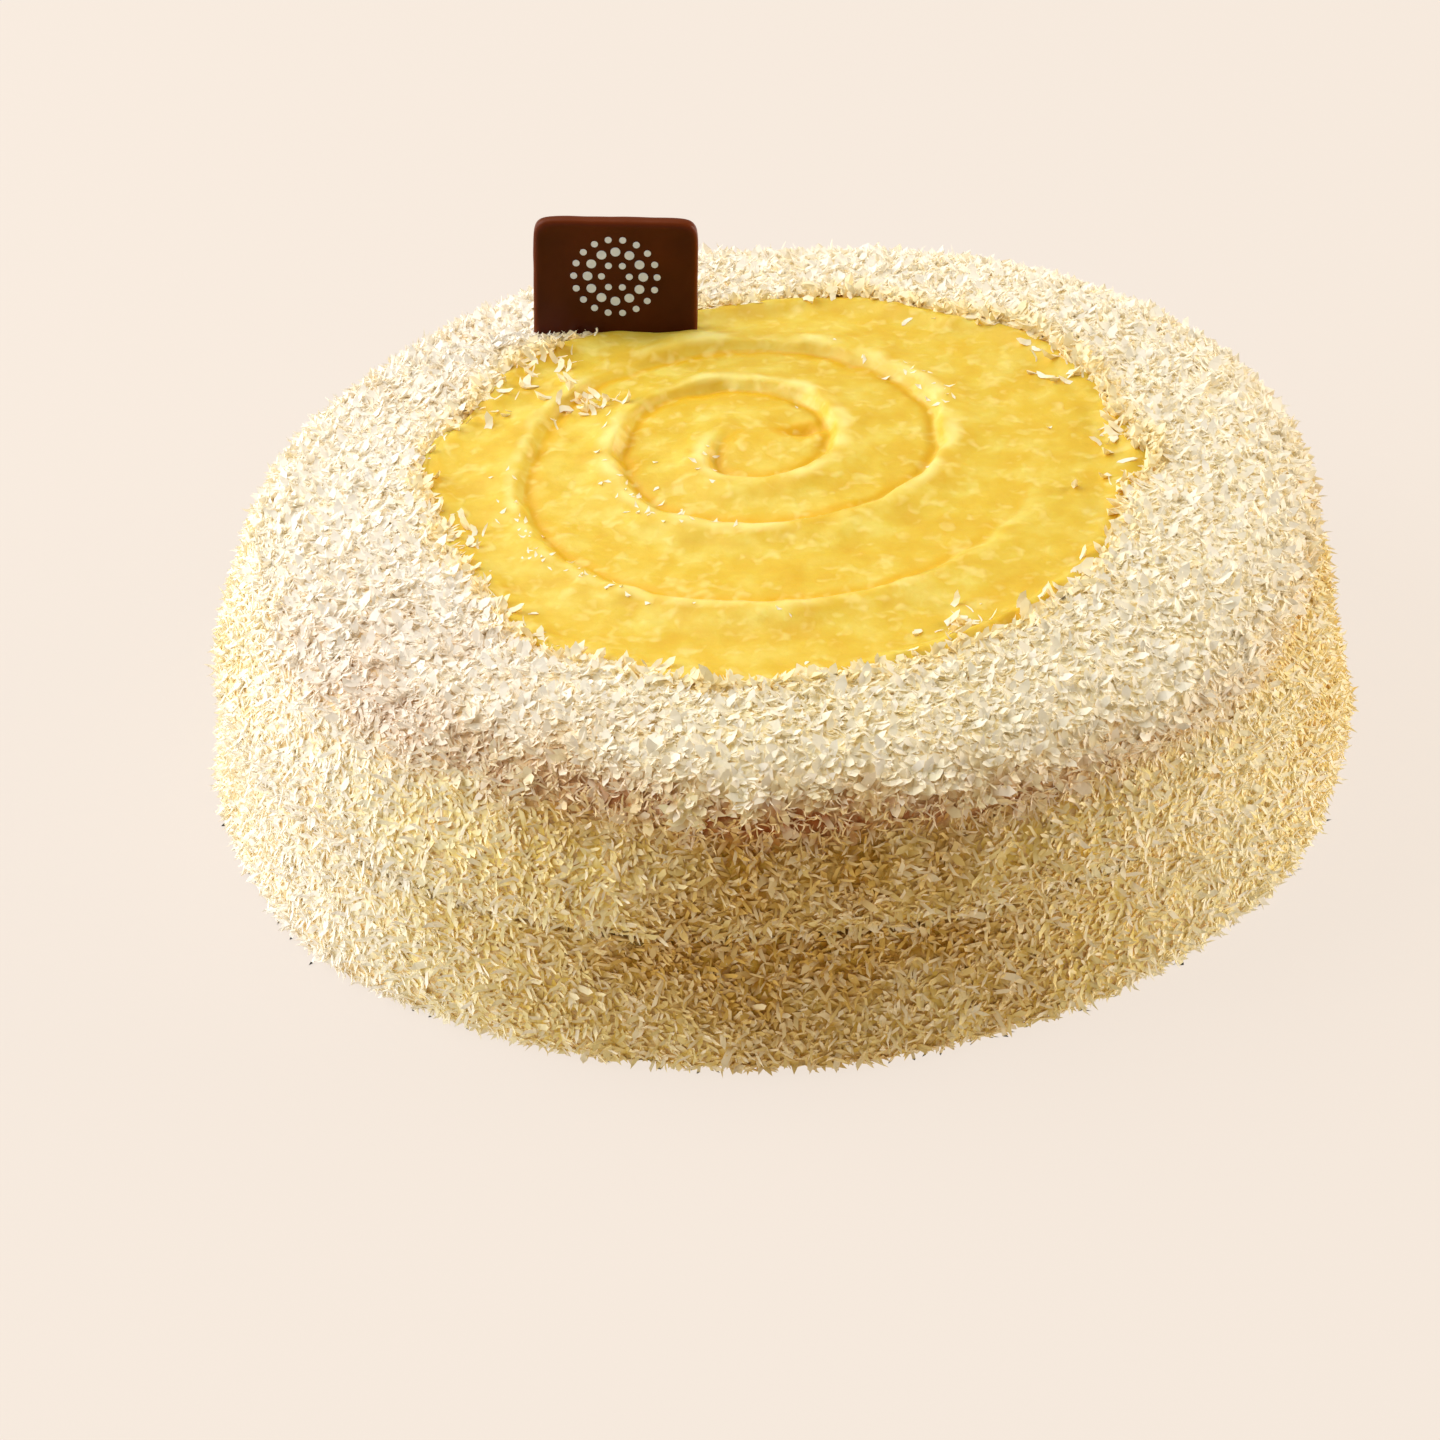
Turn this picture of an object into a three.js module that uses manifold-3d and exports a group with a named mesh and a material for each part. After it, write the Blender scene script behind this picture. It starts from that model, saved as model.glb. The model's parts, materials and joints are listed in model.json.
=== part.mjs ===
// A round coconut cake: two tiers of sponge coated in shredded coconut, a pool of swirled custard on top,
// and a small square of chocolate stood in the custard towards the back left.
// Units are millimetres, +Z is up, and the cake stands on z = 0, centred on the origin. Directions round
// the cake are degrees anticlockwise from +X, as seen from above, so that the front is at -90.
import * as THREE from 'three';
import { mergeVertices } from 'three/addons/utils/BufferGeometryUtils.js';
import Module from 'manifold-3d';

// Fit between pieces, and how near two corners are before they become one
const GAP = 0.3;
const MERGE_DISTANCE = 1e-4;

// Sponge tiers: each outline is a smooth curve through [radius, height] pairs, from its foot upwards
const SEAM_HEIGHT = 29;
const LOWER_OUTLINE = [[117.4, 0.6], [118.5, 4], [118.5, 9], [117.7, 18], [116.8, 25], [116.2, 28.3]];
const UPPER_FOOT = [[116.3, 29.4], [117.3, 33], [116.2, 40]];
const FOOT_FLAT_RADIUS = 113;
const FLAT_MARGIN = 1;
const SHOULDER_FOOT = { radius: 113.4, height: 47 };
const RING_TOP = { radius: 83, height: 63.6 };
const SHOULDER_SQUARENESS = 2.2;
const SHOULDER_POINTS = 7;
const RING_INNER = { radius: 68, height: 63 };
const TIER_COLUMNS = 100;
const LOWER_ROWS = 7;
const UPPER_ROWS = 16;

// Unevenness of the coated sponge. Each bulge reaches its full size towards one direction, and past the
// second height of its ramp: a slumped shoulder and a flared foot on the left, a squarer shoulder at the
// back right, and a side that draws in on the right below the top's overhang.
const BULGES = [
  { toward: 180, spread: 90, ramp: [34, 52], size: -2.3 },
  { toward: 195, spread: 90, ramp: [18, 2], size: 3 },
  { toward: 28, spread: 50, ramp: [42, 54], size: 3 },
  { toward: -8, spread: 60, ramp: [14, 30], size: -2.4 },
  { toward: -8, spread: 60, ramp: [43, 48], size: 1.6 },
  { toward: -60, spread: 60, ramp: [14, 2], size: 1.6 },
];
const CRUST_LINE = { height: 52, tilt: 5, depth: 1.3, depthOnLeft: 0.35, halfWidth: 3 };
const SIDE_WAVES = [[3, 0.7, 1.2, 17], [7, 0.45, 0.4, -9], [13, 0.3, 2, 6]];
const RING_WAVES = [[5, 0.45, 1, 30], [11, 0.3, 2.4, 9]];
const BUMP_LOW = -0.6;
const BUMP_HIGH = 0.8;
const SMOOTH_EDGE = 2.5;

// Coconut shreds that are large enough to stand out one by one, each full between two shares of its length
const SHRED = { length: [3, 5], width: [1.2, 2], flatness: 0.5, sunk: 1.2, bend: 0.8, full: [0.2, 0.8] };
const SHRED_FULLNESS = 1.7;
const SHRED_SIDES = 4;
const SHRED_LIFT = [18, 42];
const SHRED_WANDER = 4;
const SHREDS_ON_LOWER = 64;
const SHREDS_ON_UPPER = 132;
const SEAM_CLEARANCE = 4.5;
const RIM_CLEARANCE = 4;
const PLAQUE_CLEARANCE = 8;
const NEARBY = { share: 0.01, direction: 0.5 };
const SEEDS = { lower: 11, upper: 23, custard: 37 };

// Custard pool: the rim's radius is read at even steps from -180
const CUSTARD_CENTRE = [2.6, 0];
const CUSTARD_RIM = [73, 71.5, 71, 75.3, 75.6, 78.2, 77.3, 75.5, 75.4, 75, 74.2, 71.5,
  76, 73.3, 75.5, 77.5, 75.3, 77.6, 75.8, 75, 76.5, 78.5, 74, 76.5];
const CUSTARD_RIM_STEP = 15;
const CUSTARD_FLOOR = 57.3;
const CUSTARD_EDGE = 62.1;
const CUSTARD_MIDDLE = 62.8;
const CUSTARD_COLUMNS = 60;
const CUSTARD_SECTION = [[0, 0], [0.965, 0], [1, 0.3], [1, 0.78], [0.985, 1], [0.9, 1.1], [0.74, 1],
  [0.56, 1.08], [0.38, 1], [0.2, 1.06], [0, 1.02]];
const RECESS_HEADROOM = 8;

// The swirl drawn in the custard: its radius is read at even steps from its start outwards, and its ridge
// slopes gently on the outside and steeply on the inside
const SWIRL_CENTRE = [-3, 12];
const SWIRL_START = -270;
const SWIRL_STEP = 45;
const SWIRL_RADII = [11.5, 10, 9.7, 13.1, 13.5, 15.6, 18.3, 22.7, 28.4, 31.2, 29.5, 31.1, 31.1, 35.3, 41, 43.4,
  45.7, 47, 48.8, 57, 61.4, 63.5, 62.3];
const SWIRL_STEPS = 84;
const SWIRL_SIDES = 6;
const SWIRL_REACH = { outer: 4, inner: 1.9 };
const SWIRL_RISE = 1.6;
const SWIRL_FADE = [0.04, 0.22];
const SWIRL_END = { across: 0.45, up: 0.35 };
const SWIRL_NEARBY = 1e-3;

// Loose coconut on the custard: [x, y, pieces] of each small clump
const CLUMPS = [[-40, 37, 3], [-34.5, 33.5, 2], [36, -57, 2], [-64.5, -13, 2]];
const CLUMP_SPREAD = 2.4;

// Chocolate plaque
const PLAQUE = { side: 35.5, thickness: 3.2, corner: 3, bevel: 0.7, cornerSteps: 3 };
const PLAQUE_FOOT = [-30.4, 66.3];
const PLAQUE_TOP_HEIGHT = 90.2;
const PLAQUE_LEAN = 4.1;
const PLAQUE_TURN = -2.9;

// Colour and roughness of each finish
const COCONUT = { color: 0xefe6cf, roughness: 0.9 };
const CUSTARD = { color: 0xf2cb45, roughness: 0.3 };
const CHOCOLATE = { color: 0x4a1c0c, roughness: 0.35 };

const wasm = await Module();
wasm.setup();

const radians = THREE.MathUtils.degToRad;
const degrees = THREE.MathUtils.radToDeg;
const smooth = THREE.MathUtils.smoothstep;
const lerp = THREE.MathUtils.lerp;

// Repeatable random numbers from 0 to 1
function seededRandom(seed) {
  let state = seed;
  return () => {
    state = (state + 0x6d2b79f5) | 0;
    let mixed = Math.imul(state ^ (state >>> 15), 1 | state);
    mixed = (mixed + Math.imul(mixed ^ (mixed >>> 7), 61 | mixed)) ^ mixed;
    return ((mixed ^ (mixed >>> 14)) >>> 0) / 4294967296;
  };
}

// Value at a direction of a closed list read at even steps, on a smooth curve through its entries
function valueRound(list, start, step, direction) {
  const place = THREE.MathUtils.euclideanModulo((direction - start) / step, list.length);
  const before = Math.floor(place);
  const at = (offset) => list[(before + offset + list.length) % list.length];
  return smoothBetween(at(-1), at(0), at(1), at(2), place - before);
}

// Value at a place of an open list, on a smooth curve through its entries
function valueAlong(list, place) {
  const before = Math.min(Math.floor(place), list.length - 2);
  const at = (offset) => list[THREE.MathUtils.clamp(before + offset, 0, list.length - 1)];
  return smoothBetween(at(-1), at(0), at(1), at(2), place - before);
}

function smoothBetween(a, b, c, d, t) {
  const slopeB = (c - a) / 2;
  const slopeC = (d - b) / 2;
  const cubic = 2 * b - 2 * c + slopeB + slopeC;
  const square = -3 * b + 3 * c - 2 * slopeB - slopeC;
  return b + t * (slopeB + t * (square + t * cubic));
}

// Leaves only positions, with shared corners merged and collapsed triangles dropped
function closedGeometry(source) {
  const bare = source.clone();
  for (const name of ['normal', 'uv']) bare.deleteAttribute(name);
  const merged = mergeVertices(bare, MERGE_DISTANCE);
  const corners = merged.getIndex().array;
  const kept = [];
  for (let i = 0; i < corners.length; i += 3) {
    const [a, b, c] = [corners[i], corners[i + 1], corners[i + 2]];
    if (a !== b && b !== c && c !== a) kept.push(a, b, c);
  }
  merged.setIndex(kept);
  return merged;
}

function toSolid(source) {
  const closed = closedGeometry(source);
  return new wasm.Manifold(new wasm.Mesh({
    numProp: 3,
    vertProperties: new Float32Array(closed.getAttribute('position').array),
    triVerts: new Uint32Array(closed.getIndex().array),
  }));
}

function toGeometry(solid) {
  const mesh = solid.getMesh();
  const geometry = new THREE.BufferGeometry();
  geometry.setAttribute('position', new THREE.BufferAttribute(mesh.vertProperties, 3));
  geometry.setIndex(new THREE.BufferAttribute(mesh.triVerts, 1));
  geometry.computeVertexNormals();
  return geometry;
}

// Moves every vertex of a geometry to where the given function puts it
function reshape(geometry, place) {
  const positions = geometry.getAttribute('position');
  const point = new THREE.Vector3();
  for (let i = 0; i < positions.count; i += 1) {
    point.fromBufferAttribute(positions, i);
    place(point, i);
    positions.setXYZ(i, point.x, point.y, point.z);
  }
  return geometry;
}

// Closed solid of revolution about Z from [radius, height] pairs that start and end on the axis
function turned(section, columns) {
  const points = section.map(([radius, height]) => new THREE.Vector2(radius, height));
  return closedGeometry(new THREE.LatheGeometry(points, columns).rotateX(radians(90)));
}

function outlineCurve(pairs) {
  return new THREE.SplineCurve(pairs.map(([radius, height]) => new THREE.Vector2(radius, height)));
}

// Shoulder of the cake, a quarter of a squarish ellipse from the side up to the top of the ring
function shoulderPoints(count) {
  return Array.from({ length: count }, (_, i) => {
    const turn = radians((90 * i) / (count - 1));
    const across = Math.cos(turn) ** (2 / SHOULDER_SQUARENESS);
    const up = Math.sin(turn) ** (2 / SHOULDER_SQUARENESS);
    return [
      lerp(RING_TOP.radius, SHOULDER_FOOT.radius, across),
      lerp(SHOULDER_FOOT.height, RING_TOP.height, up),
    ];
  });
}

const LOWER_CURVE = outlineCurve(LOWER_OUTLINE);
const UPPER_CURVE = outlineCurve([
  ...UPPER_FOOT, ...shoulderPoints(SHOULDER_POINTS), [RING_INNER.radius, RING_INNER.height]]);

function wavesAt(waves, direction, along) {
  return waves.reduce((sum, [count, size, phase, pitch]) => (
    sum + size * Math.sin(count * radians(direction) + phase + along / pitch)), 0);
}

function bulgeAt({ toward, spread, ramp: [from, to], size }, direction, height) {
  const away = Math.abs(THREE.MathUtils.euclideanModulo(direction - toward + 180, 360) - 180);
  const facing = away < spread ? Math.cos(radians((90 * away) / spread)) ** 2 : 0;
  const reached = from < to ? smooth(height, from, to) : 1 - smooth(height, to, from);
  return size * facing * reached;
}

// Height of the browned crust's line, where the coconut on top ends in a slight overhang
function crustLineHeight(direction) {
  return CRUST_LINE.height - CRUST_LINE.tilt * Math.cos(radians(direction));
}

// Moves a point of the ideal round cake to where the uneven cake has it
function makeUneven(point) {
  const radius = Math.hypot(point.x, point.y);
  if (radius < FOOT_FLAT_RADIUS - FLAT_MARGIN && point.z < SEAM_HEIGHT + FLAT_MARGIN) return point;
  const direction = degrees(Math.atan2(point.y, point.x));
  const side = smooth(radius, RING_TOP.radius, SHOULDER_FOOT.radius);
  const fromCrust = (point.z - crustLineHeight(direction) + CRUST_LINE.halfWidth) / CRUST_LINE.halfWidth;
  const crustDepth = CRUST_LINE.depth
    * lerp(CRUST_LINE.depthOnLeft, 1, Math.max(0, Math.cos(radians(direction))));
  const outward = wavesAt(SIDE_WAVES, direction, point.z)
    + BULGES.reduce((sum, bulge) => sum + bulgeAt(bulge, direction, point.z), 0)
    - crustDepth * Math.exp(-fromCrust * fromCrust);
  const scale = 1 + (side * outward) / radius;
  const onTop = smooth(point.z, SHOULDER_FOOT.height, RING_TOP.height);
  point.set(point.x * scale, point.y * scale, point.z + onTop * wavesAt(RING_WAVES, direction, radius));
  return point;
}

// Gives each vertex of the coconut coat a bump of its own, along the surface's normal
function roughen(geometry, random, isCoated) {
  geometry.computeVertexNormals();
  const normals = geometry.getAttribute('normal');
  return reshape(geometry, (point, i) => {
    const bump = lerp(BUMP_LOW, BUMP_HIGH, random());
    if (isCoated(point)) point.addScaledVector(new THREE.Vector3().fromBufferAttribute(normals, i), bump);
  });
}

// Point and outward normal of the uneven cake's outline at a share of its length and a direction
function surfaceAt(curve, share, direction) {
  const at = (u, angle) => {
    const { x: radius, y: height } = curve.getPointAt(THREE.MathUtils.clamp(u, 0, 1));
    const turn = radians(angle);
    return makeUneven(new THREE.Vector3(radius * Math.cos(turn), radius * Math.sin(turn), height));
  };
  const point = at(share, direction);
  const along = at(share + NEARBY.share, direction).sub(at(share - NEARBY.share, direction));
  const round = at(share, direction + NEARBY.direction).sub(at(share, direction - NEARBY.direction));
  return { point, normal: round.cross(along).normalize() };
}

// One shred of coconut: a flat, pointed, bent sliver that stands on its sunk foot along +Z
function shredSolid(random) {
  const length = lerp(...SHRED.length, random());
  const width = lerp(...SHRED.width, random());
  const sliver = new THREE.ConeGeometry(width / 2, length + SHRED.sunk, SHRED_SIDES, 2);
  sliver.rotateX(radians(90)).translate(0, 0, (length - SHRED.sunk) / 2);
  return closedGeometry(reshape(sliver, (point) => {
    const share = Math.max(0, point.z / length);
    const fullness = share > SHRED.full[0] && share < SHRED.full[1] ? SHRED_FULLNESS : 1;
    point.x = point.x * fullness + SHRED.bend * share * share;
    point.y *= fullness * SHRED.flatness;
  }));
}

// Turns a shred to stand out of a surface at a random lift and heading, at the given point
function plantShred(point, normal, random) {
  const lift = radians(90 - lerp(...SHRED_LIFT, random()));
  const heading = radians(360 * random());
  const upright = new THREE.Vector3(0, 0, 1);
  const standing = new THREE.Quaternion().setFromUnitVectors(upright, normal);
  const leaning = new THREE.Quaternion().setFromEuler(new THREE.Euler(lift, 0, heading, 'ZYX'));
  const rolled = new THREE.Quaternion().setFromAxisAngle(upright, radians(360 * random()));
  const place = new THREE.Matrix4().compose(
    point, standing.multiply(leaning).multiply(rolled), new THREE.Vector3(1, 1, 1));
  return toSolid(shredSolid(random).applyMatrix4(place));
}

// Shreds spread evenly over an outline by the golden angle, where the given test allows one
function coatWithShreds(solid, curve, count, random, isFree) {
  const goldenAngle = 180 * (3 - Math.sqrt(5));
  let coated = solid;
  for (let i = 0; i < count; i += 1) {
    const direction = i * goldenAngle + SHRED_WANDER * random();
    const share = (i + random()) / count;
    const { point, normal } = surfaceAt(curve, share, direction);
    if (isFree(point)) coated = coated.add(plantShred(point, normal, random));
  }
  return coated;
}

function custardRimAt(direction) {
  return valueRound(CUSTARD_RIM, -180, CUSTARD_RIM_STEP, direction);
}

// Distance of a point inside the custard's rim, negative outside it
function insideCustard(point) {
  const x = point.x - CUSTARD_CENTRE[0];
  const y = point.y - CUSTARD_CENTRE[1];
  return custardRimAt(degrees(Math.atan2(y, x))) - Math.hypot(x, y);
}

// Stretches a turned solid of radius 1 out to the custard's rim, grown by a margin, and sets it in place
function fitToRim(geometry, margin) {
  return reshape(geometry, (point) => {
    const reach = custardRimAt(degrees(Math.atan2(point.y, point.x))) + margin;
    point.set(CUSTARD_CENTRE[0] + point.x * reach, CUSTARD_CENTRE[1] + point.y * reach, point.z);
  });
}

// Space that the custard fills in the top tier
function custardRecess() {
  const floor = CUSTARD_FLOOR - GAP;
  const open = RING_TOP.height + RECESS_HEADROOM;
  return toSolid(fitToRim(turned([[0, floor], [1, floor], [1, open], [0, open]], CUSTARD_COLUMNS), GAP));
}

// Plaque-shaped space, grown by the fit all round
function plaqueSlot() {
  const { side, thickness } = PLAQUE;
  const slot = new THREE.BoxGeometry(side + 2 * GAP, thickness + 2 * GAP, side + GAP);
  slot.translate(0, 0, -GAP / 2);
  plaquePlace.updateWorldMatrix(true, true);
  return toSolid(slot.applyMatrix4(chocolatePlaque.matrixWorld));
}

// Distance of a point from the plaque's foot line
function fromPlaque(point) {
  const foot = new THREE.Vector3(...PLAQUE_FOOT, 0);
  const local = new THREE.Vector3(point.x, point.y, 0).sub(foot)
    .applyAxisAngle(new THREE.Vector3(0, 0, 1), -radians(PLAQUE_TURN));
  return Math.hypot(Math.max(0, Math.abs(local.x) - PLAQUE.side / 2), local.y);
}

function lowerSpongeSolid() {
  const random = seededRandom(SEEDS.lower);
  const top = SEAM_HEIGHT - GAP;
  const side = LOWER_CURVE.getSpacedPoints(LOWER_ROWS).map(({ x, y }) => [x, y]);
  const section = [[0, 0], [FOOT_FLAT_RADIUS, 0], ...side, [FOOT_FLAT_RADIUS, top], [0, top]];
  const isCoated = ({ z }) => z > SMOOTH_EDGE && z < SEAM_HEIGHT - SMOOTH_EDGE;
  const body = roughen(reshape(turned(section, TIER_COLUMNS), makeUneven), random, isCoated);
  const isFree = ({ z }) => z > SEAM_CLEARANCE && z < SEAM_HEIGHT - SEAM_CLEARANCE;
  return coatWithShreds(toSolid(body), LOWER_CURVE, SHREDS_ON_LOWER, random, isFree);
}

function upperSpongeSolid() {
  const random = seededRandom(SEEDS.upper);
  const side = UPPER_CURVE.getSpacedPoints(UPPER_ROWS).map(({ x, y }) => [x, y]);
  const section = [[0, SEAM_HEIGHT], [FOOT_FLAT_RADIUS, SEAM_HEIGHT], ...side, [0, RING_INNER.height]];
  const isCoated = ({ x, y, z }) => z > SEAM_HEIGHT + SMOOTH_EDGE
    && Math.hypot(x, y) > RING_INNER.radius + SMOOTH_EDGE;
  const body = roughen(reshape(turned(section, TIER_COLUMNS), makeUneven), random, isCoated);
  const hollowed = toSolid(body).subtract(custardRecess()).subtract(plaqueSlot());
  const isFree = (point) => point.z > SEAM_HEIGHT + SEAM_CLEARANCE
    && insideCustard(point) < -RIM_CLEARANCE && fromPlaque(point) > PLAQUE_CLEARANCE;
  return coatWithShreds(hollowed, UPPER_CURVE, SHREDS_ON_UPPER, random, isFree);
}

function swirlPoint(share) {
  const place = share * (SWIRL_RADII.length - 1);
  const turn = radians(SWIRL_START + SWIRL_STEP * place);
  const radius = valueAlong(SWIRL_RADII, place);
  return new THREE.Vector3(
    SWIRL_CENTRE[0] + radius * Math.cos(turn), SWIRL_CENTRE[1] + radius * Math.sin(turn), CUSTARD_MIDDLE);
}

// The swirl's ridge: a straight bar bent along the swirl, which thins out towards both of its ends
function swirlRidge() {
  const bar = new THREE.CylinderGeometry(1, 1, 1, SWIRL_SIDES, SWIRL_STEPS);
  return reshape(bar, (point) => {
    const share = point.y + 0.5;
    const after = swirlPoint(Math.min(1, share + SWIRL_NEARBY));
    const along = after.sub(swirlPoint(Math.max(0, share - SWIRL_NEARBY))).normalize();
    const fade = Math.min(smooth(share, 0, SWIRL_FADE[0]), 1 - smooth(share, 1 - SWIRL_FADE[1], 1));
    const reach = point.x > 0 ? SWIRL_REACH.outer : SWIRL_REACH.inner;
    const across = point.x * reach * lerp(SWIRL_END.across, 1, fade);
    const up = point.z * SWIRL_RISE * lerp(SWIRL_END.up, 1, fade);
    const middle = swirlPoint(share);
    point.set(middle.x + along.y * across, middle.y - along.x * across, middle.z + up);
  });
}

function clumpShreds(random) {
  return CLUMPS.flatMap(([x, y, pieces]) => Array.from({ length: pieces }, () => {
    const turn = radians(360 * random());
    const point = new THREE.Vector3(
      x + CLUMP_SPREAD * Math.cos(turn), y + CLUMP_SPREAD * Math.sin(turn), CUSTARD_MIDDLE);
    return plantShred(point, new THREE.Vector3(0, 0, 1), random);
  }));
}

function custardSolid() {
  const random = seededRandom(SEEDS.custard);
  const rise = CUSTARD_EDGE - CUSTARD_FLOOR;
  const section = CUSTARD_SECTION.map(([radius, height]) => [radius, CUSTARD_FLOOR + height * rise]);
  const pool = toSolid(fitToRim(turned(section, CUSTARD_COLUMNS), 0));
  return [toSolid(swirlRidge()), ...clumpShreds(random)]
    .reduce((whole, piece) => whole.add(piece), pool)
    .subtract(plaqueSlot());
}

// Rounded square plate with a bevel all round both faces, centred on the origin, its faces along Y
function plaqueGeometry() {
  const { side, thickness, corner, bevel, cornerSteps } = PLAQUE;
  const half = side / 2 - bevel;
  const inner = half - corner;
  const outline = new THREE.Shape();
  outline.absarc(inner, inner, corner, 0, radians(90));
  outline.absarc(-inner, inner, corner, radians(90), radians(180));
  outline.absarc(-inner, -inner, corner, radians(180), radians(270));
  outline.absarc(inner, -inner, corner, radians(270), radians(360));
  const plate = new THREE.ExtrudeGeometry(outline, {
    depth: thickness - 2 * bevel,
    curveSegments: cornerSteps,
    bevelThickness: bevel,
    bevelSize: bevel,
    bevelSegments: 1,
  });
  plate.translate(0, 0, bevel - thickness / 2);
  return closedGeometry(plate.rotateX(radians(90)));
}

function foodMaterial(finish) {
  return new THREE.MeshStandardMaterial({ ...finish, metalness: 0 });
}

function pieceMesh(name, geometry, material) {
  const mesh = new THREE.Mesh(geometry, material);
  mesh.name = name;
  return mesh;
}

const coconutOnSponge = foodMaterial(COCONUT);
const chocolatePlaque = pieceMesh('chocolate_plaque', plaqueGeometry(), foodMaterial(CHOCOLATE));
const plaquePlace = new THREE.Group();
plaquePlace.position.set(...PLAQUE_FOOT, PLAQUE_TOP_HEIGHT - PLAQUE.side / 2);
plaquePlace.rotation.z = radians(PLAQUE_TURN);
chocolatePlaque.rotation.y = radians(PLAQUE_LEAN);
plaquePlace.add(chocolatePlaque);

const cake = new THREE.Group();
cake.add(
  pieceMesh('lower_sponge', toGeometry(lowerSpongeSolid()), coconutOnSponge),
  pieceMesh('upper_sponge', toGeometry(upperSpongeSolid()), coconutOnSponge),
  pieceMesh('custard_top', toGeometry(custardSolid()), foodMaterial(CUSTARD)),
  plaquePlace,
);

export default cake;
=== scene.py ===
import json
import math

import bpy
import numpy as np
from mathutils import Euler, Matrix, Vector, noise

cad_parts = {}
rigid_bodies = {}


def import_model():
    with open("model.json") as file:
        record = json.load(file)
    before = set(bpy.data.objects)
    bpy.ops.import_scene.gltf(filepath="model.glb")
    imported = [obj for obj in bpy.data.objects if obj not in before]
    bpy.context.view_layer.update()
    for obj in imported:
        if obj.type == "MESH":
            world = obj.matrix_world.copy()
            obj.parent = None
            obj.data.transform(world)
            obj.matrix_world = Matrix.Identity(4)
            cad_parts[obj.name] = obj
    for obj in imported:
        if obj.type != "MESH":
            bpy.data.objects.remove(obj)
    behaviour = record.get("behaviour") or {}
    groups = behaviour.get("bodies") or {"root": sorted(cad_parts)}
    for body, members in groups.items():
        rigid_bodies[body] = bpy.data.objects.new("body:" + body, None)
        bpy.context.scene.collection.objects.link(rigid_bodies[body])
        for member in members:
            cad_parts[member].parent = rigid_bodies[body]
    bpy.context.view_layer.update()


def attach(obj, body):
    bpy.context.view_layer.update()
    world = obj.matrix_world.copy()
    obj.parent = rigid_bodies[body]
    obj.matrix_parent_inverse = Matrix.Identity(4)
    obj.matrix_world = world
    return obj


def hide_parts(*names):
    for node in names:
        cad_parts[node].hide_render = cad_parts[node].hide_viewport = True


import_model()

# Sizes are in millimetres and degrees, and meshes are written in metres.
MM = 0.001
BODY = "root"
NEARLY_ZERO = 1e-9
# Steps in which a smooth curve is followed between two of its points
CURVE_STEPS = 60

# Camera: a long lens, above the front of the cake. Its angles are its yaw, pitch and roll.
CAMERA_PLACE = (-2.5, -886.5, 591.0)
CAMERA_ANGLES = (-0.72, 33.52, -4.07)
LENS = 125.0
SENSOR = 36.0
CLIP_END = 10000.0

# Studio: lights as (place, diameter, power in watts, colour), all aimed at the middle of the cake
LIGHT_AIM = (0, 0, 40)
LIGHTS = {
    "key": ((-950, 110, 590), 1400, 14.7, "#f8fbff"),
    "fill": ((1690, 320, 500), 1400, 30.0, "#fff4e4"),
    "top": ((-600, 500, 1100), 1700, 8.5, "#fffaf2"),
}
SKY_COLOUR = "#fff5e6"
SKY_STRENGTH = 0.3
FLOOR_REACH = 6000
FLOOR_GLOW = 0.88
# Light has to bounce often between pale shreds before the gaps between them are bright
DIFFUSE_BOUNCES = 10

# Fractal noise: its dimension and how much finer each octave is
FRACTAL = (1.0, 2.0)
# Unevenness by name: strength, size of the lumps, octaves and seed
UNEVENNESS = {
    "crust edge": (2.4, 11.0, 2, 5.0),
    "crust patches": (1.0, 7.0, 2, 15.0),
    "coat patches": (0.45, 6.0, 2, 9.0),
    "yellow patches": (0.5, 16.0, 3, 25.0),
    "yellow foot": (5.0, 20.0, 2, 27.0),
    "soaked edge": (2.0, 6.0, 2, 11.0),
    "sponge lumps": (0.5, 9.0, 2, 9.0),
    "sponge crumb": (0.15, 3.2, 2, 3.2),
    "ridge lumps": (0.35, 8.0, 2, 1.0),
    "ridge swells": (0.4, 22.0, 1, 17.0),
    "ridge glints": (1.0, 9.0, 2, 19.0),
    "ridge wobble": (1.0, 8.0, 2, 13.0),
    "spatula marks": (0.04, 1.0, 3, 2.0),
    "custard swells": (0.4, 22.0, 2, 6.0),
    "custard lumps": (0.24, 6.0, 2, 7.0),
    "roll lumps": (1.0, 9.0, 2, 8.0),
    "ragged rim": (0.9, 5.0, 3, 4.0),
    "rim patches": (1.0, 7.0, 2, 21.0),
    "plaque swell": (0.16, 9.0, 2, 3.0),
}

# Sponge tiers: outlines as [radius, height] pairs, from the foot upwards
SEAM_HEIGHT = 29.0
SEAM_GAP = 0.3
LOWER_OUTLINE = [[117.4, 0.6], [118.5, 4], [118.5, 9], [117.7, 18], [116.8, 25], [116.3, 28.6]]
UPPER_FOOT = [[116.3, 29.1], [117.3, 33], [116.2, 40]]
FOOT_FLAT_RADIUS = 113.0
SHOULDER_FOOT = (113.4, 47.0)
SHOULDER_POINTS = 7
SHOULDER_SQUARENESS = 2.2
RING_TOP = (83.0, 63.6)
RING_INNER = (76.0, 63.3)
RIM_REACH = 100.0
TIER_COLUMNS = 640
LOWER_ROWS = 30
UPPER_ROWS = 72
# How far the sponge lies inside the coated outline
CORE_INSET = 0.9

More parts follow.
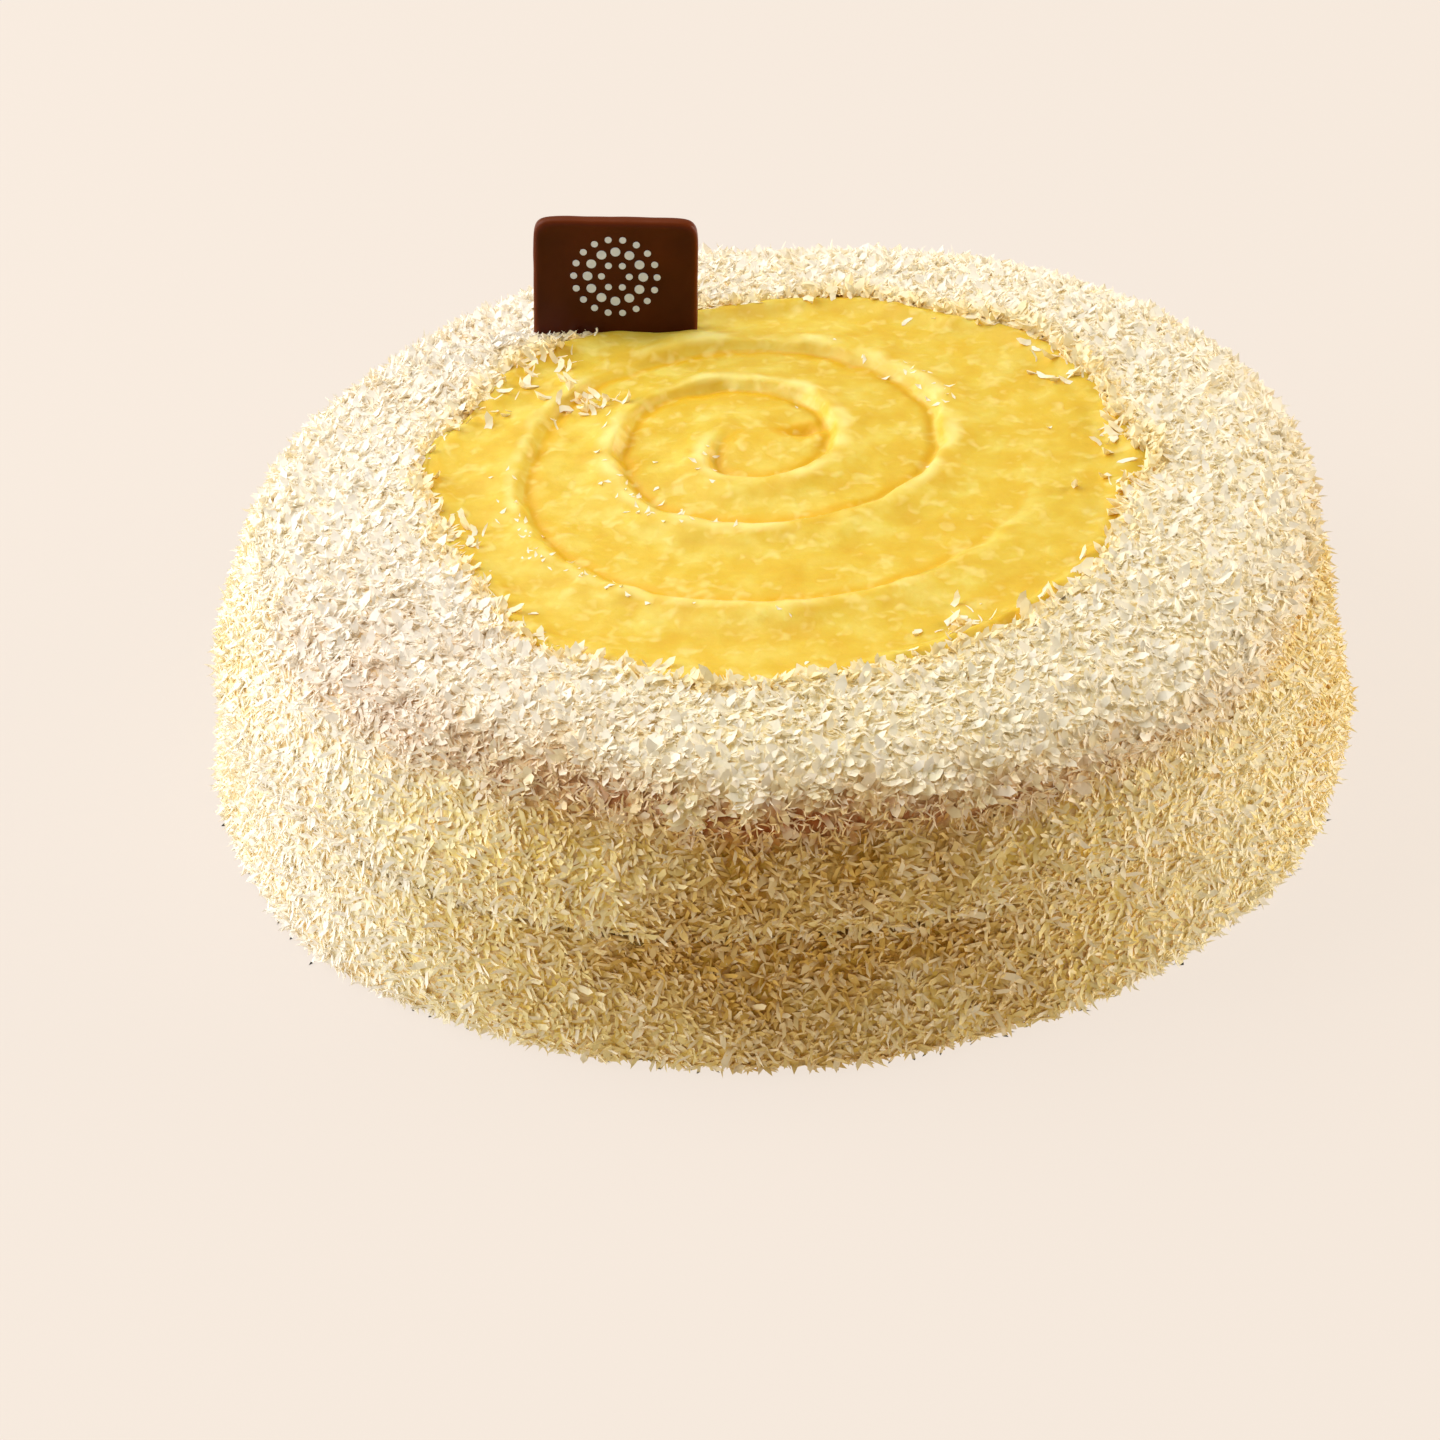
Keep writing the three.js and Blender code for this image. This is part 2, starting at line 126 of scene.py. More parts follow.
# Slumps and bulges: the direction and its spread, the heights between which each grows, and its size
BULGES = [
    {"toward": 180, "spread": 90, "ramp": (34, 52), "size": -2.3},
    {"toward": 195, "spread": 90, "ramp": (18, 2), "size": 3.0},
    {"toward": 28, "spread": 50, "ramp": (42, 54), "size": 3.0},
    {"toward": -8, "spread": 60, "ramp": (14, 30), "size": -2.4},
    {"toward": -8, "spread": 60, "ramp": (43, 48), "size": 1.6},
    {"toward": -60, "spread": 60, "ramp": (14, 2), "size": 1.6},
]
# Waves: their number round the cake, size, phase, and how they turn with height or radius
SIDE_WAVES = [(3, 0.7, 1.2, 17), (7, 0.45, 0.4, -9), (13, 0.3, 2, 6)]
RING_WAVES = [(5, 0.45, 1, 30), (11, 0.3, 2.4, 9)]
# The browned crust's line is pressed in deepest on the right, and by the least share elsewhere
CRUST_LINE = {"height": 52, "tilt": 5, "depth": 1.3, "half_width": 3, "least_share": 0.35}

# Brownness of the crust and yellowness of the coconut, every 45 degrees from the left by the front. The
# yellowness by direction is painted shade, strongest on the front, which the lights reach least
CRUST_BROWNNESS = [0.04, 0.46, 1, 0.38, 0.22, 0.2, 0.3, 0.22]
SIDE_YELLOWNESS_AND_SHADE = [0.1, 0.08, 0.82, 0.11, 0.29, 0.22, 0.2, 0.15]
RING_PAINTED_SHADE = [0, 0.01, 0.09, 0.07, 0.06, 0.04, 0.03, 0]

# Zones on the tiers, by height above the crust's line: pairs are the heights between which a zone fades,
# and bands are (middle, half-width)
CRUST_RISE = 1.5
TOP_COAT_STARTS = (-6.0, 2.0)
SIDE_COAT_ENDS = (-1.5, 1.5)
YELLOW_ENDS = (-9.0, 7.0)
CRUST_BAND = (-0.5, 4.6)
WISP_BAND = (-0.5, 4.2)
CRUST_PATCH_RAMP = (-0.8, -0.1)
CRUST_BARENESS = 0.94
# Zones by height above the ground: the seam's thicker coat, the paler foot, which is painted light, and
# bands of
# yellow as (middle, half-width, size): a painted highlight above the seam and painted shade below it
SEAM_COAT_BAND = (SEAM_HEIGHT, 1.5)
SEAM_COAT_EXTRA = 0.5
# Painted light: the side keeps only this share of its yellowness at the foot, as if lit from below
FOOT_YELLOWNESS_UNDER_PAINTED_LIGHT = 0.72
FOOT_RAMP = (1, 12)
SEAM_HIGHLIGHT_AND_SHADE_BANDS = [(SEAM_HEIGHT + 2.5, 2.0, -0.4), (SEAM_HEIGHT - 4, 3.5, 0.25)]
# How far from the custard's rim the coconut is soaked
SOAKED_REACH = (0.0, 5.0)

# Custard pool: its rim is a radius every 15 degrees from the left by the front. Its edge is [share of that
# radius, height], and bands near the rim are (middle, half-width) in the same shares.
CUSTARD_CENTRE = (2.6, 0.0)
CUSTARD_RIM = [73, 71.5, 71, 75.3, 75.6, 78.2, 77.3, 75.5, 75.4, 75, 74.2, 71.5,
               76, 73.3, 75.5, 77.5, 75.3, 77.6, 75.8, 75, 76.5, 78.5, 74, 76.5]
CUSTARD_FLOOR = 57.3
CUSTARD_HEIGHT = 62.2
CUSTARD_EDGE = [[1.0, 57.3], [1.0, 60.6], [0.998, 61.7], [0.992, 62.3], [0.982, 62.6]]
CUSTARD_MIDDLE_SHARE = 0.004
CUSTARD_OVERLAP = 0.8
CUSTARD_COLUMNS = 600
CUSTARD_ROWS = 140
RAGGED_RADIUS = 70
RAGGED_POWER = 8
RELIEF_FADE = (0.965, 0.995)
CUSTARD_ROLL = {"height": 0.5, "share": (0.95, 0.03)}
CUSTARD_LIP = {"height": 1.2, "share": (0.955, 0.022), "toward": (-57, 24)}
BACK_RISE = {"height": 0.9, "share": (0.97, 0.05), "from_y": (10, 60)}
# Mounds and dimples of the custard: ((x, y), (reach along x, along y), height)
CUSTARD_MOUNDS = [((-29, 59), (17, 5), 1.1), ((-2, 15), (9, 8), 1.5), ((12, 19), (4.5, 7), 1.2),
                  ((1, 26.5), (8, 2.5), 0.9), ((8.4, 19.0), (4.4, 2.1), -2.2)]

# Swirl drawn in the custard: its radius at each step, anticlockwise from its start. Places are in steps.
SWIRL_CENTRE = (-3.0, 12.0)
SWIRL_START = -270.0
SWIRL_STEP = 45.0
SWIRL_TURNS = (-1, 0, 1, 2)
SWIRL_RADII = [11.5, 10, 9.7, 13.1, 13.5, 15.6, 18.3, 22.7, 28.4, 31.2, 29.5, 31.1, 31.1, 35.3, 41, 43.4,
               45.7, 47, 48.8, 57, 61.4, 63.5, 62.3]
RIDGE = {"height": 1.8, "outer": 6.0, "inner": 1.8, "starts": (-0.3, 2.4), "softens": (14, 19),
         "softening": 0.15, "ends": (20, 22)}
FURROW = {"depth": 0.6, "inside": 2.7, "width": 1.8}
# Painted highlight: a line of glints along each crest, at (middle, half-width) from the ridge, broken up by
# a ramp
CREST_LINE = (0.7, 1.7)
GLINT_RAMP = (-0.5, 0.25)
# Streaks that the spatula leaves: how fast they change round the swirl's centre, and how wide they are
STREAK_CHANGE = 1.6
STREAK_WIDTH = 1.5
# Painted highlight: how pale the custard is, by its relief and by the crest's line; the furrows keep a
# deeper amber, which is painted shade
CREST_RAMP = (-0.6, 2.6)
RELIEF_HIGHLIGHT = 0.45
LINE_HIGHLIGHT = 0.55

# Coconut on the custard: crumbs as (place along the swirl, reach), clumps as (x, y, reach), and the coats
RIDGE_CRUMBS = [(2.9, 0.5), (10.9, 0.8), (14.8, 0.5), (18.9, 0.7)]
CRUMB_BAND = (1.0, 3.0)
CLUMPS = [(-40, 37, 5), (-34.7, 34, 4), (35.6, -57.7, 5), (-64.6, -13.2, 5), (-58, 45, 7), (-47, 55, 6),
          (66, 38, 6), (76, 8, 6), (78, -12, 6), (-52, 62, 5)]
COAT_FLOOR = (60.5, 61.5)
RIM_COAT = {"share": (1.0, 0.03), "least": 0.4, "patches": (-0.4, 0.5), "clumps": 0.5,
            "clump_share": (0.2, 0.6)}
FLECK_COAT = {"everywhere": 0.003, "ends": (0.9, 0.96)}

# Kinds of shred: (how many shapes, length, width, rings, strips in a tuft)
SHREDS = {
    "petal": (12, 5.3, 1.85, 3, 1),
    "chip": (10, 4.4, 1.2, 2, 1),
    "strand": (8, 4.8, 0.6, 3, 1),
    "tuft": (6, 4.4, 1.8, 2, 3),
    "flake": (8, 3.3, 1.3, 1, 1),
    "wisp": (8, 5.4, 0.42, 3, 1),
    "thread": (8, 4.8, 0.68, 2, 1),
}
SHRED_SEED = 1
# Ranges of a strip's length and width as shares of its kind's, of its bend and sway as shares of its
# length, of its keel as a share of its width, and of its twist
STRIP = {"length": (0.8, 1.2), "width": (0.8, 1.25), "bend": (-0.06, 0.2), "sway": (-0.2, 0.2),
         "keel": (0.45, 0.65), "twist": (-45, 45)}
# Places along a strip: its root, where its bend turns, and its first and last ring
STRIP_ROOT = 0.28
STRIP_TURN = 0.3
STRIP_RINGS = (0.2, 0.8)
# Ranges of a ring's half-width, of how high its one edge is and of how far its keel lies to a side
RING_SPAN = (0.8, 1.0)
RING_EDGE = (0, 0.2)
RING_KEEL = (-0.3, 0.3)
# Ranges, in radians, of how the further strips of a tuft are turned
TUFT_SPREAD = [(-0.6, 0.6), (-0.7, 0.1), (0.7, 5.5)]

# Coats: carrier, zone, kind of shred, pieces in each square millimetre, lift in radians, relative size
COATS = [
    ("upper", "top_coat", "petal", 0.38, (0.0, 0.22), (0.7, 1.2)),
    ("upper", "top_coat", "strand", 0.16, (0.0, 0.45), (0.7, 1.15)),
    ("upper", "top_coat", "tuft", 0.05, (0.0, 0.4), (0.8, 1.1)),
    ("upper", "top_coat", "flake", 0.9, (0.0, 0.15), (0.85, 1.4)),
    ("upper", "crust_coat", "wisp", 0.8, (0.2, 0.9), (0.7, 1.1)),
    ("upper", "side_coat", "chip", 0.3, (0.0, 0.32), (0.6, 1.2)),
    ("upper", "side_coat", "thread", 0.4, (0.05, 0.5), (0.7, 1.1)),
    ("upper", "side_coat", "flake", 0.55, (0.0, 0.25), (0.7, 1.2)),
    ("lower", "side_coat", "chip", 0.3, (0.0, 0.32), (0.6, 1.2)),
    ("lower", "side_coat", "thread", 0.4, (0.05, 0.5), (0.7, 1.1)),
    ("lower", "side_coat", "flake", 0.55, (0.0, 0.25), (0.7, 1.2)),
    ("custard", "rim_coat", "petal", 0.35, (0.0, 0.6), (0.6, 1.0)),
    ("custard", "rim_coat", "strand", 0.2, (0.0, 0.7), (0.5, 0.9)),
    ("custard", "fleck_coat", "flake", 0.14, (0.0, 0.2), (0.3, 0.8)),
]
FIRST_COAT_SEED = 11
COAT_ROLL = 0.18
HIGHEST_PICK = 99
LOWEST_SHRED = 0.3
# Height above the sponge at which a shred has its full pale colour; below it, its root's colour is painted
# shade and glow in the gaps
GAP_SHADE_HEIGHT = 0.6

# Plaque: where the middle of its foot stands, the height of its top, and how it leans and turns
PLAQUE_SIDE = 35.5
PLAQUE_FOOT = (-30.4, 66.3)
PLAQUE_TOP_HEIGHT = 90.2
PLAQUE_LEAN = 4.1
PLAQUE_TURN = -2.9
# Its section from the back's middle round to the front's middle, as [distance inside the outline, depth]
PLAQUE_SECTION = [[13, -1.5], [8, -1.53], [4, -1.57], [1.7, -1.6], [0.9, -1.57], [0.4, -1.42],
                  [0.1, -1.1], [0, -0.7], [0, 0], [0, 0.7], [0.1, 1.1], [0.4, 1.42], [0.9, 1.57],
                  [1.5, 1.6], [2.1, 1.55], [2.8, 1.5], [6, 1.48], [9, 1.48], [12, 1.48], [15, 1.48]]
PLAQUE_SQUARENESS = 11
PLAQUE_COLUMNS = 240
# Band along the plaque's outline that is paler: partly scuffing, partly a painted highlight on the rounded
# rim
SCUFF_AND_HIGHLIGHT_BAND = (0.1, 0.6)
# Ornament on the plaque: (dots, ring radius, dot radius) of each ring, and how it lies on the face
ORNAMENT_RINGS = [(18, 9.0, 0.75), (12, 6.0, 1.05), (6, 3.0, 0.75)]
ORNAMENT_LIFT = 4.5
ORNAMENT_FILM = 0.16
ORNAMENT_DEPTH = 1.54
DOT_CORNERS = 28


def linear(code):
    """Linear colour with alpha 1 from an sRGB hex code."""
    parts = [int(code[i:i + 2], 16) / 255 for i in (1, 3, 5)]
    return (*(p / 12.92 if p <= 0.04045 else ((p + 0.055) / 1.055) ** 2.4 for p in parts), 1.0)


def add_node(tree, kind, inputs=None, output=0, stops=(), **settings):
    """Adds a node with its settings, and a colour ramp's (place, hex code) stops, and returns an output.

    Each input takes a value, a hex colour, or the socket that feeds it."""
    node = tree.nodes.new(kind)
    for name, value in settings.items():
        setattr(node, name, value)
    for key, value in (inputs or {}).items():
        if isinstance(value, bpy.types.NodeSocket):
            tree.links.new(value, node.inputs[key])
        else:
            is_colour = isinstance(value, str) and value.startswith("#")
            node.inputs[key].default_value = linear(value) if is_colour else value
    for place, code in stops[2:]:
        node.color_ramp.elements.new(place)
    for element, (place, code) in zip(node.color_ramp.elements if stops else (), stops):
        element.position = place
        element.color = linear(code)
    return node.outputs[output] if node.outputs else None


def smooth_ramp(values, start, end):
    """Rises smoothly from 0 at start to 1 at end, whichever of the two is lower."""
    share = np.clip((values - start) / (end - start), 0, 1)
    return share * share * (3 - 2 * share)


def hump(values, middle, width):
    """A smooth bump of height 1 around a middle value."""
    return np.exp(-((values - middle) / width) ** 2)


def cubic_between(a, b, c, d, t):
    """Smooth curve from b to c, with a before them and d after them."""
    slope_b = (c - a) / 2
    slope_c = (d - b) / 2
    cubic = 2 * b - 2 * c + slope_b + slope_c
    square = -3 * b + 3 * c - 2 * slope_b - slope_c
    return b + t * (slope_b + t * (square + t * cubic))


def value_round(values, direction):
    """Smooth value at a direction, from a closed list read at even steps from the left by the front."""
    values = np.asarray(values, float)
    place = np.mod((direction + 180) / (360 / len(values)), len(values))
    before = np.floor(place).astype(int)
    a, b, c, d = (values[(before + k) % len(values)] for k in (-1, 0, 1, 2))
    return cubic_between(a, b, c, d, place - before)


def value_along(values, place):
    """Smooth value at a place of an open list."""
    values = np.asarray(values, float)
    before = np.clip(np.floor(place).astype(int), 0, len(values) - 2)
    a, b, c, d = (values[np.clip(before + k, 0, len(values) - 1)] for k in (-1, 0, 1, 2))
    return cubic_between(a, b, c, d, place - before)


def spaced_curve(points, count):
    """Evenly spaced points on a smooth curve through a few points."""
    points = np.asarray(points, float)
    places = np.linspace(0, len(points) - 1, CURVE_STEPS * len(points))
    dense = np.stack([value_along(points[:, k], places) for k in (0, 1)], 1)
    lengths = np.concatenate([[0], np.cumsum(np.hypot(*np.diff(dense, axis=0).T))])
    even = np.linspace(0, lengths[-1], count)
    return np.stack([np.interp(even, lengths, dense[:, k]) for k in (0, 1)], 1)


def directions(points):
    """Direction of each point from the origin, in degrees anticlockwise from +X."""
    return np.degrees(np.arctan2(points[..., 1], points[..., 0]))


def uneven(points, name):
    """Fractal noise at points, with the strength and lumps that UNEVENNESS gives under a name."""
    strength, size, octaves, seed = UNEVENNESS[name]
    shift = Vector((seed, -seed, 2 * seed))
    flat = points.reshape(-1, 3)
    values = [noise.fractal(Vector(point) / size + shift, *FRACTAL, octaves) for point in flat]
    return strength * np.array(values).reshape(points.shape[:-1])


def shoulder_points():
    """Shoulder of the cake, a quarter of a squarish ellipse from the side up to the top of the ring."""
    turns = np.radians(np.linspace(0, 90, SHOULDER_POINTS))
    across = np.abs(np.cos(turns)) ** (2 / SHOULDER_SQUARENESS)
    up = np.sin(turns) ** (2 / SHOULDER_SQUARENESS)
    radius = RING_TOP[0] + (SHOULDER_FOOT[0] - RING_TOP[0]) * across
    height = SHOULDER_FOOT[1] + (RING_TOP[1] - SHOULDER_FOOT[1]) * up
    return np.stack([radius, height], 1).tolist()


def waves_at(waves, direction, along):
    """Sum of waves that run round the cake."""
    turn = np.radians(direction)
    return sum(size * np.sin(count * turn + phase + along / pitch) for count, size, phase, pitch in waves)


def bulge_at(bulge, direction, height):
    """How far one bulge moves the side out."""
    away = np.abs(np.mod(direction - bulge["toward"] + 180, 360) - 180)
    facing = np.where(away < bulge["spread"], np.cos(np.radians(90 * away / bulge["spread"])) ** 2, 0)
    return bulge["size"] * facing * smooth_ramp(height, *bulge["ramp"])


def crust_height(direction):
    """Height of the browned crust's line at the foot of the coconut on top."""
    return CRUST_LINE["height"] - CRUST_LINE["tilt"] * np.cos(np.radians(direction))


def crust_press(direction, height):
    """How far the crust's line is pressed into the side."""
    least = CRUST_LINE["least_share"]
    share = least + (1 - least) * np.maximum(0, np.cos(np.radians(direction)))
    from_crust = (height - crust_height(direction) + CRUST_LINE["half_width"]) / CRUST_LINE["half_width"]
    return CRUST_LINE["depth"] * share * np.exp(-from_crust ** 2)


def make_uneven(points):
    """Moves points of the ideal round cake to where the uneven cake has them."""
    radius = np.hypot(points[..., 0], points[..., 1])
    height = points[..., 2]
    direction = directions(points)
    side = smooth_ramp(radius, RING_TOP[0], SHOULDER_FOOT[0])
    outward = waves_at(SIDE_WAVES, direction, height) + sum(bulge_at(b, direction, height) for b in BULGES)
    outward = outward - crust_press(direction, height)
    scale = 1 + side * outward / radius
    raised = smooth_ramp(height, SHOULDER_FOOT[1], RING_TOP[1]) * waves_at(RING_WAVES, direction, radius)
    return np.stack([points[..., 0] * scale, points[..., 1] * scale, height + raised], -1)


def stretch_to_rim(points):
    """Draws the ring's inner rows out or in to the custard's uneven rim."""
    from_centre = points[..., :2] - CUSTARD_CENTRE
    heading = from_centre / np.linalg.norm(from_centre, axis=-1, keepdims=True)
    rim = value_round(CUSTARD_RIM, directions(from_centre))[..., None] + SEAM_GAP
    radius = np.hypot(points[..., 0], points[..., 1])[..., None]
    share = np.clip((radius - RING_INNER[0]) / (RIM_REACH - RING_INNER[0]), 0, 1)
    at_rim = CUSTARD_CENTRE + heading * rim
    return np.concatenate([at_rim + (points[..., :2] - at_rim) * share, points[..., 2:]], -1)


def turned_grid(section, columns):
    """Points of a turned surface: one row for each [radius, height] pair, anticlockwise from +X."""
    turns = np.linspace(0, 2 * math.pi, columns, endpoint=False)
    radius, height = np.asarray(section, float).T[:, :, None]
    return np.stack([radius * np.cos(turns), radius * np.sin(turns), height + 0 * turns], -1)


def grid_normals(grid):
    """Outward normals of a turned grid whose rows go up its outside."""
    round_way = np.roll(grid, -1, axis=1) - np.roll(grid, 1, axis=1)
    up_way = np.gradient(grid, axis=0)
    normals = np.cross(round_way, up_way)
    return normals / np.maximum(np.linalg.norm(normals, axis=-1, keepdims=True), NEARLY_ZERO)


def grid_faces(rows, columns):
    """Quads of a grid whose rows close on themselves, and the two fans that close its ends."""
    row, column = np.meshgrid(np.arange(rows - 1), np.arange(columns), indexing="ij")
    here = row * columns + column
    beside = row * columns + (column + 1) % columns
    faces = np.stack([here, beside, beside + columns, here + columns], -1).reshape(-1, 4).tolist()
    foot = rows * columns
    top_row = (rows - 1) * columns
    faces += [[foot, (c + 1) % columns, c] for c in range(columns)]
    faces += [[foot + 1, top_row + c, top_row + (c + 1) % columns] for c in range(columns)]
    return faces


def add_object(name, data):
    """Adds an object with its mesh, camera or light to the scene."""
    obj = bpy.data.objects.new(name, data)
    bpy.context.scene.collection.objects.link(obj)
    return obj


def mesh_object(name, points, faces, smooth=True):
    """Object at the origin from points in millimetres."""
    mesh = bpy.data.meshes.new(name)
    mesh.from_pydata((np.asarray(points) * MM).tolist(), [], faces, shade_flat=not smooth)
    return add_object(name, mesh)


def closed_grid_object(name, grid, attributes):
    """Closed mesh of a turned grid, with each attribute's value at each point and its mean at the poles."""
    rows, columns = grid.shape[:2]
    poles = [grid[0].mean(0), grid[-1].mean(0)]
    obj = mesh_object(name, np.concatenate([grid.reshape(-1, 3), poles]), grid_faces(rows, columns))
    for label, values in attributes.items():
        at_points = np.concatenate([values.ravel(), [values[0].mean(), values[-1].mean()]])
        attribute = obj.data.attributes.new(label, "FLOAT", "POINT")
        attribute.data.foreach_set("value", at_points.astype(np.float32))
    return obj


def coconut_yellowness_and_shade(grid, above):
    """How yellow the coconut looks: on the side patchy, yellowest on the front, which is painted shade,
    paler at the foot, which is painted light, and paler just above the seam, a painted highlight, with
    painted shade below it.
    """
    height = grid[..., 2]
    direction = directions(grid)
    # Painted light: paler towards the foot
    from_foot = smooth_ramp(height + uneven(grid, "yellow foot"), *FOOT_RAMP)
    # Painted shade by direction: the front, which the lights reach least, is the yellowest
    side = value_round(SIDE_YELLOWNESS_AND_SHADE, direction) * (FOOT_YELLOWNESS_UNDER_PAINTED_LIGHT + (1 - FOOT_YELLOWNESS_UNDER_PAINTED_LIGHT) * from_foot)
    side = side * (1 + uneven(grid, "yellow patches")) * (1 - smooth_ramp(above, *YELLOW_ENDS))
    # Painted highlight on the upper tier's edge just above the seam, painted shade under it
    bands = 1 + sum(size * hump(height, middle, width) for middle, width, size in SEAM_HIGHLIGHT_AND_SHADE_BANDS)
    return value_round(RING_PAINTED_SHADE, direction) + side * bands


def coat_attributes(grid, coated):
    """How thick each coat lies on a tier's coated rows, and how brown and yellow the tier is; the
    yellowness holds painted shade and light.
    """
    direction = directions(grid)
    above = grid[..., 2] - crust_height(direction) - CRUST_RISE - uneven(grid, "crust edge")
    patchy = smooth_ramp(uneven(grid, "crust patches"), *CRUST_PATCH_RAMP)
    browned = patchy * value_round(CRUST_BROWNNESS, direction)
    crust = hump(above, *CRUST_BAND) * browned
    coat = coated * (1 + uneven(grid, "coat patches")) * (1 - CRUST_BARENESS * crust)
    seam = 1 + SEAM_COAT_EXTRA * hump(grid[..., 2], *SEAM_COAT_BAND)
    side = (1 - smooth_ramp(above, *SIDE_COAT_ENDS)) * seam
    return {
        "top_coat": coat * smooth_ramp(above, *TOP_COAT_STARTS),
        "side_coat": coat * side,
        "crust_coat": coated * hump(above, *WISP_BAND) * browned,
        "crust": crust,
        "yellow_and_shade": coconut_yellowness_and_shade(grid, above),
        "soaked": 0 * above,
    }


def coated_rows(grid, last):
    """True on a tier's rows from the second to the last one that has coconut on it."""
    rows = np.arange(len(grid))
    return ((rows > 0) & (rows <= last))[:, None]


def roughened(grid, coated):
    """Presses a coated grid in under its coconut and gives it the lumps of the sponge."""
    lumps = uneven(grid, "sponge lumps") + uneven(grid, "sponge crumb")
    return grid + grid_normals(grid) * (coated * (lumps - CORE_INSET))[..., None]


def lower_core():
    """Sponge of the lower tier, flat on the ground and closed at the seam."""
    side = spaced_curve(LOWER_OUTLINE, LOWER_ROWS)
    foot = [[FOOT_FLAT_RADIUS, 0.0]]
    top = [[FOOT_FLAT_RADIUS, SEAM_HEIGHT - SEAM_GAP]]
    grid = make_uneven(turned_grid(np.concatenate([foot, side, top]), TIER_COLUMNS))
    grid[[0, -1]] = turned_grid(foot + top, TIER_COLUMNS)
    coated = coated_rows(grid, LOWER_ROWS)
    grid = roughened(grid, coated)
    grid[..., 2] = np.maximum(grid[..., 2], 0)
    return closed_grid_object("lower_sponge_crumb", grid, coat_attributes(grid, coated))


def upper_core():
    """Sponge of the upper tier, from the seam over the shoulder to the recess for the custard."""
    side = spaced_curve(UPPER_FOOT + shoulder_points() + [list(RING_INNER)], UPPER_ROWS)
    foot = [[FOOT_FLAT_RADIUS, SEAM_HEIGHT]]
    section = np.concatenate([foot, side])
    grid = make_uneven(turned_grid(section, TIER_COLUMNS))
    grid[0] = turned_grid(foot, TIER_COLUMNS)[0]
    on_ring = section[:, 0] < RIM_REACH
    grid[on_ring] = stretch_to_rim(grid[on_ring])
    grid = roughened(grid, coated_rows(grid, UPPER_ROWS))
    recess = grid[-1:].copy()
    recess[..., 2] = CUSTARD_FLOOR - SEAM_GAP
    grid = np.concatenate([grid, recess])
    attributes = coat_attributes(grid, coated_rows(grid, UPPER_ROWS))
    from_centre = grid[..., :2] - CUSTARD_CENTRE
    from_rim = np.linalg.norm(from_centre, axis=-1) - value_round(CUSTARD_RIM, directions(from_centre))
    attributes["soaked"] = 1 - smooth_ramp(from_rim + uneven(grid, "soaked edge"), *SOAKED_REACH)
    return closed_grid_object("upper_sponge_crumb", grid, attributes)


def ridge_strength(place):
    """How strong the swirl's ridge is at a place: it rises at the start, softens and then dies away."""
    risen = smooth_ramp(place, *RIDGE["starts"])
    softened = risen * (1 - RIDGE["softening"] * smooth_ramp(place, *RIDGE["softens"]))
    return softened * (1 - smooth_ramp(place, *RIDGE["ends"]))


def swirl_relief(points):
    """The swirl's ridge and the furrow inside it, the line of its crest where a highlight is painted, and
    the crumbs on it.
    """
    from_centre = points[..., :2] - SWIRL_CENTRE
    distance = np.linalg.norm(from_centre, axis=-1)
    unevenness = 1 + uneven(points, "ridge lumps") + uneven(points, "ridge swells")
    glint = smooth_ramp(uneven(points, "ridge glints"), *GLINT_RAMP)
    wobble = uneven(points, "ridge wobble")
    relief, line, crumbs = np.zeros((3, *distance.shape))
    for turn in SWIRL_TURNS:
        place = (directions(from_centre) + 360 * turn - SWIRL_START) / SWIRL_STEP
        off = distance - value_along(SWIRL_RADII, np.clip(place, 0, len(SWIRL_RADII) - 1)) + wobble
        strength = ridge_strength(place) * unevenness
        width = np.where(off > 0, RIDGE["outer"], RIDGE["inner"])
        relief += strength * RIDGE["height"] * hump(off, 0, width)
        relief -= strength * FURROW["depth"] * hump(off, -FURROW["inside"], FURROW["width"])
        line += strength * glint * hump(off, *CREST_LINE)
        crumbs += hump(off, *CRUMB_BAND) * sum(hump(place, middle, reach) for middle, reach in RIDGE_CRUMBS)
    return relief, line, crumbs


def spatula_marks(points):
    """Fine streaks that run round the swirl's centre."""
    from_centre = points[..., :2] - SWIRL_CENTRE
    distance = np.linalg.norm(from_centre, axis=-1, keepdims=True)
    heading = from_centre / np.maximum(distance, NEARLY_ZERO)
    return uneven(np.concatenate([STREAK_CHANGE * heading, distance / STREAK_WIDTH], -1), "spatula marks")


def mounds_at(points, mounds):
    """Height of smooth mounds, each given by its place, its reach along X and Y, and its height."""
    total = 0
    for place, reach, height in mounds:
        away = (points[..., :2] - place) / reach
        total = total + height * np.exp(-(away ** 2).sum(-1))
    return total


def rim_relief(grid, share, direction):
    """The rolled edge of the custard, with its lip at the front right."""
    roll = CUSTARD_ROLL["height"] * hump(share, *CUSTARD_ROLL["share"]) * (1 + uneven(grid, "roll lumps"))
    at_lip = hump(share, *CUSTARD_LIP["share"]) * hump(direction, *CUSTARD_LIP["toward"])
    return roll + CUSTARD_LIP["height"] * at_lip


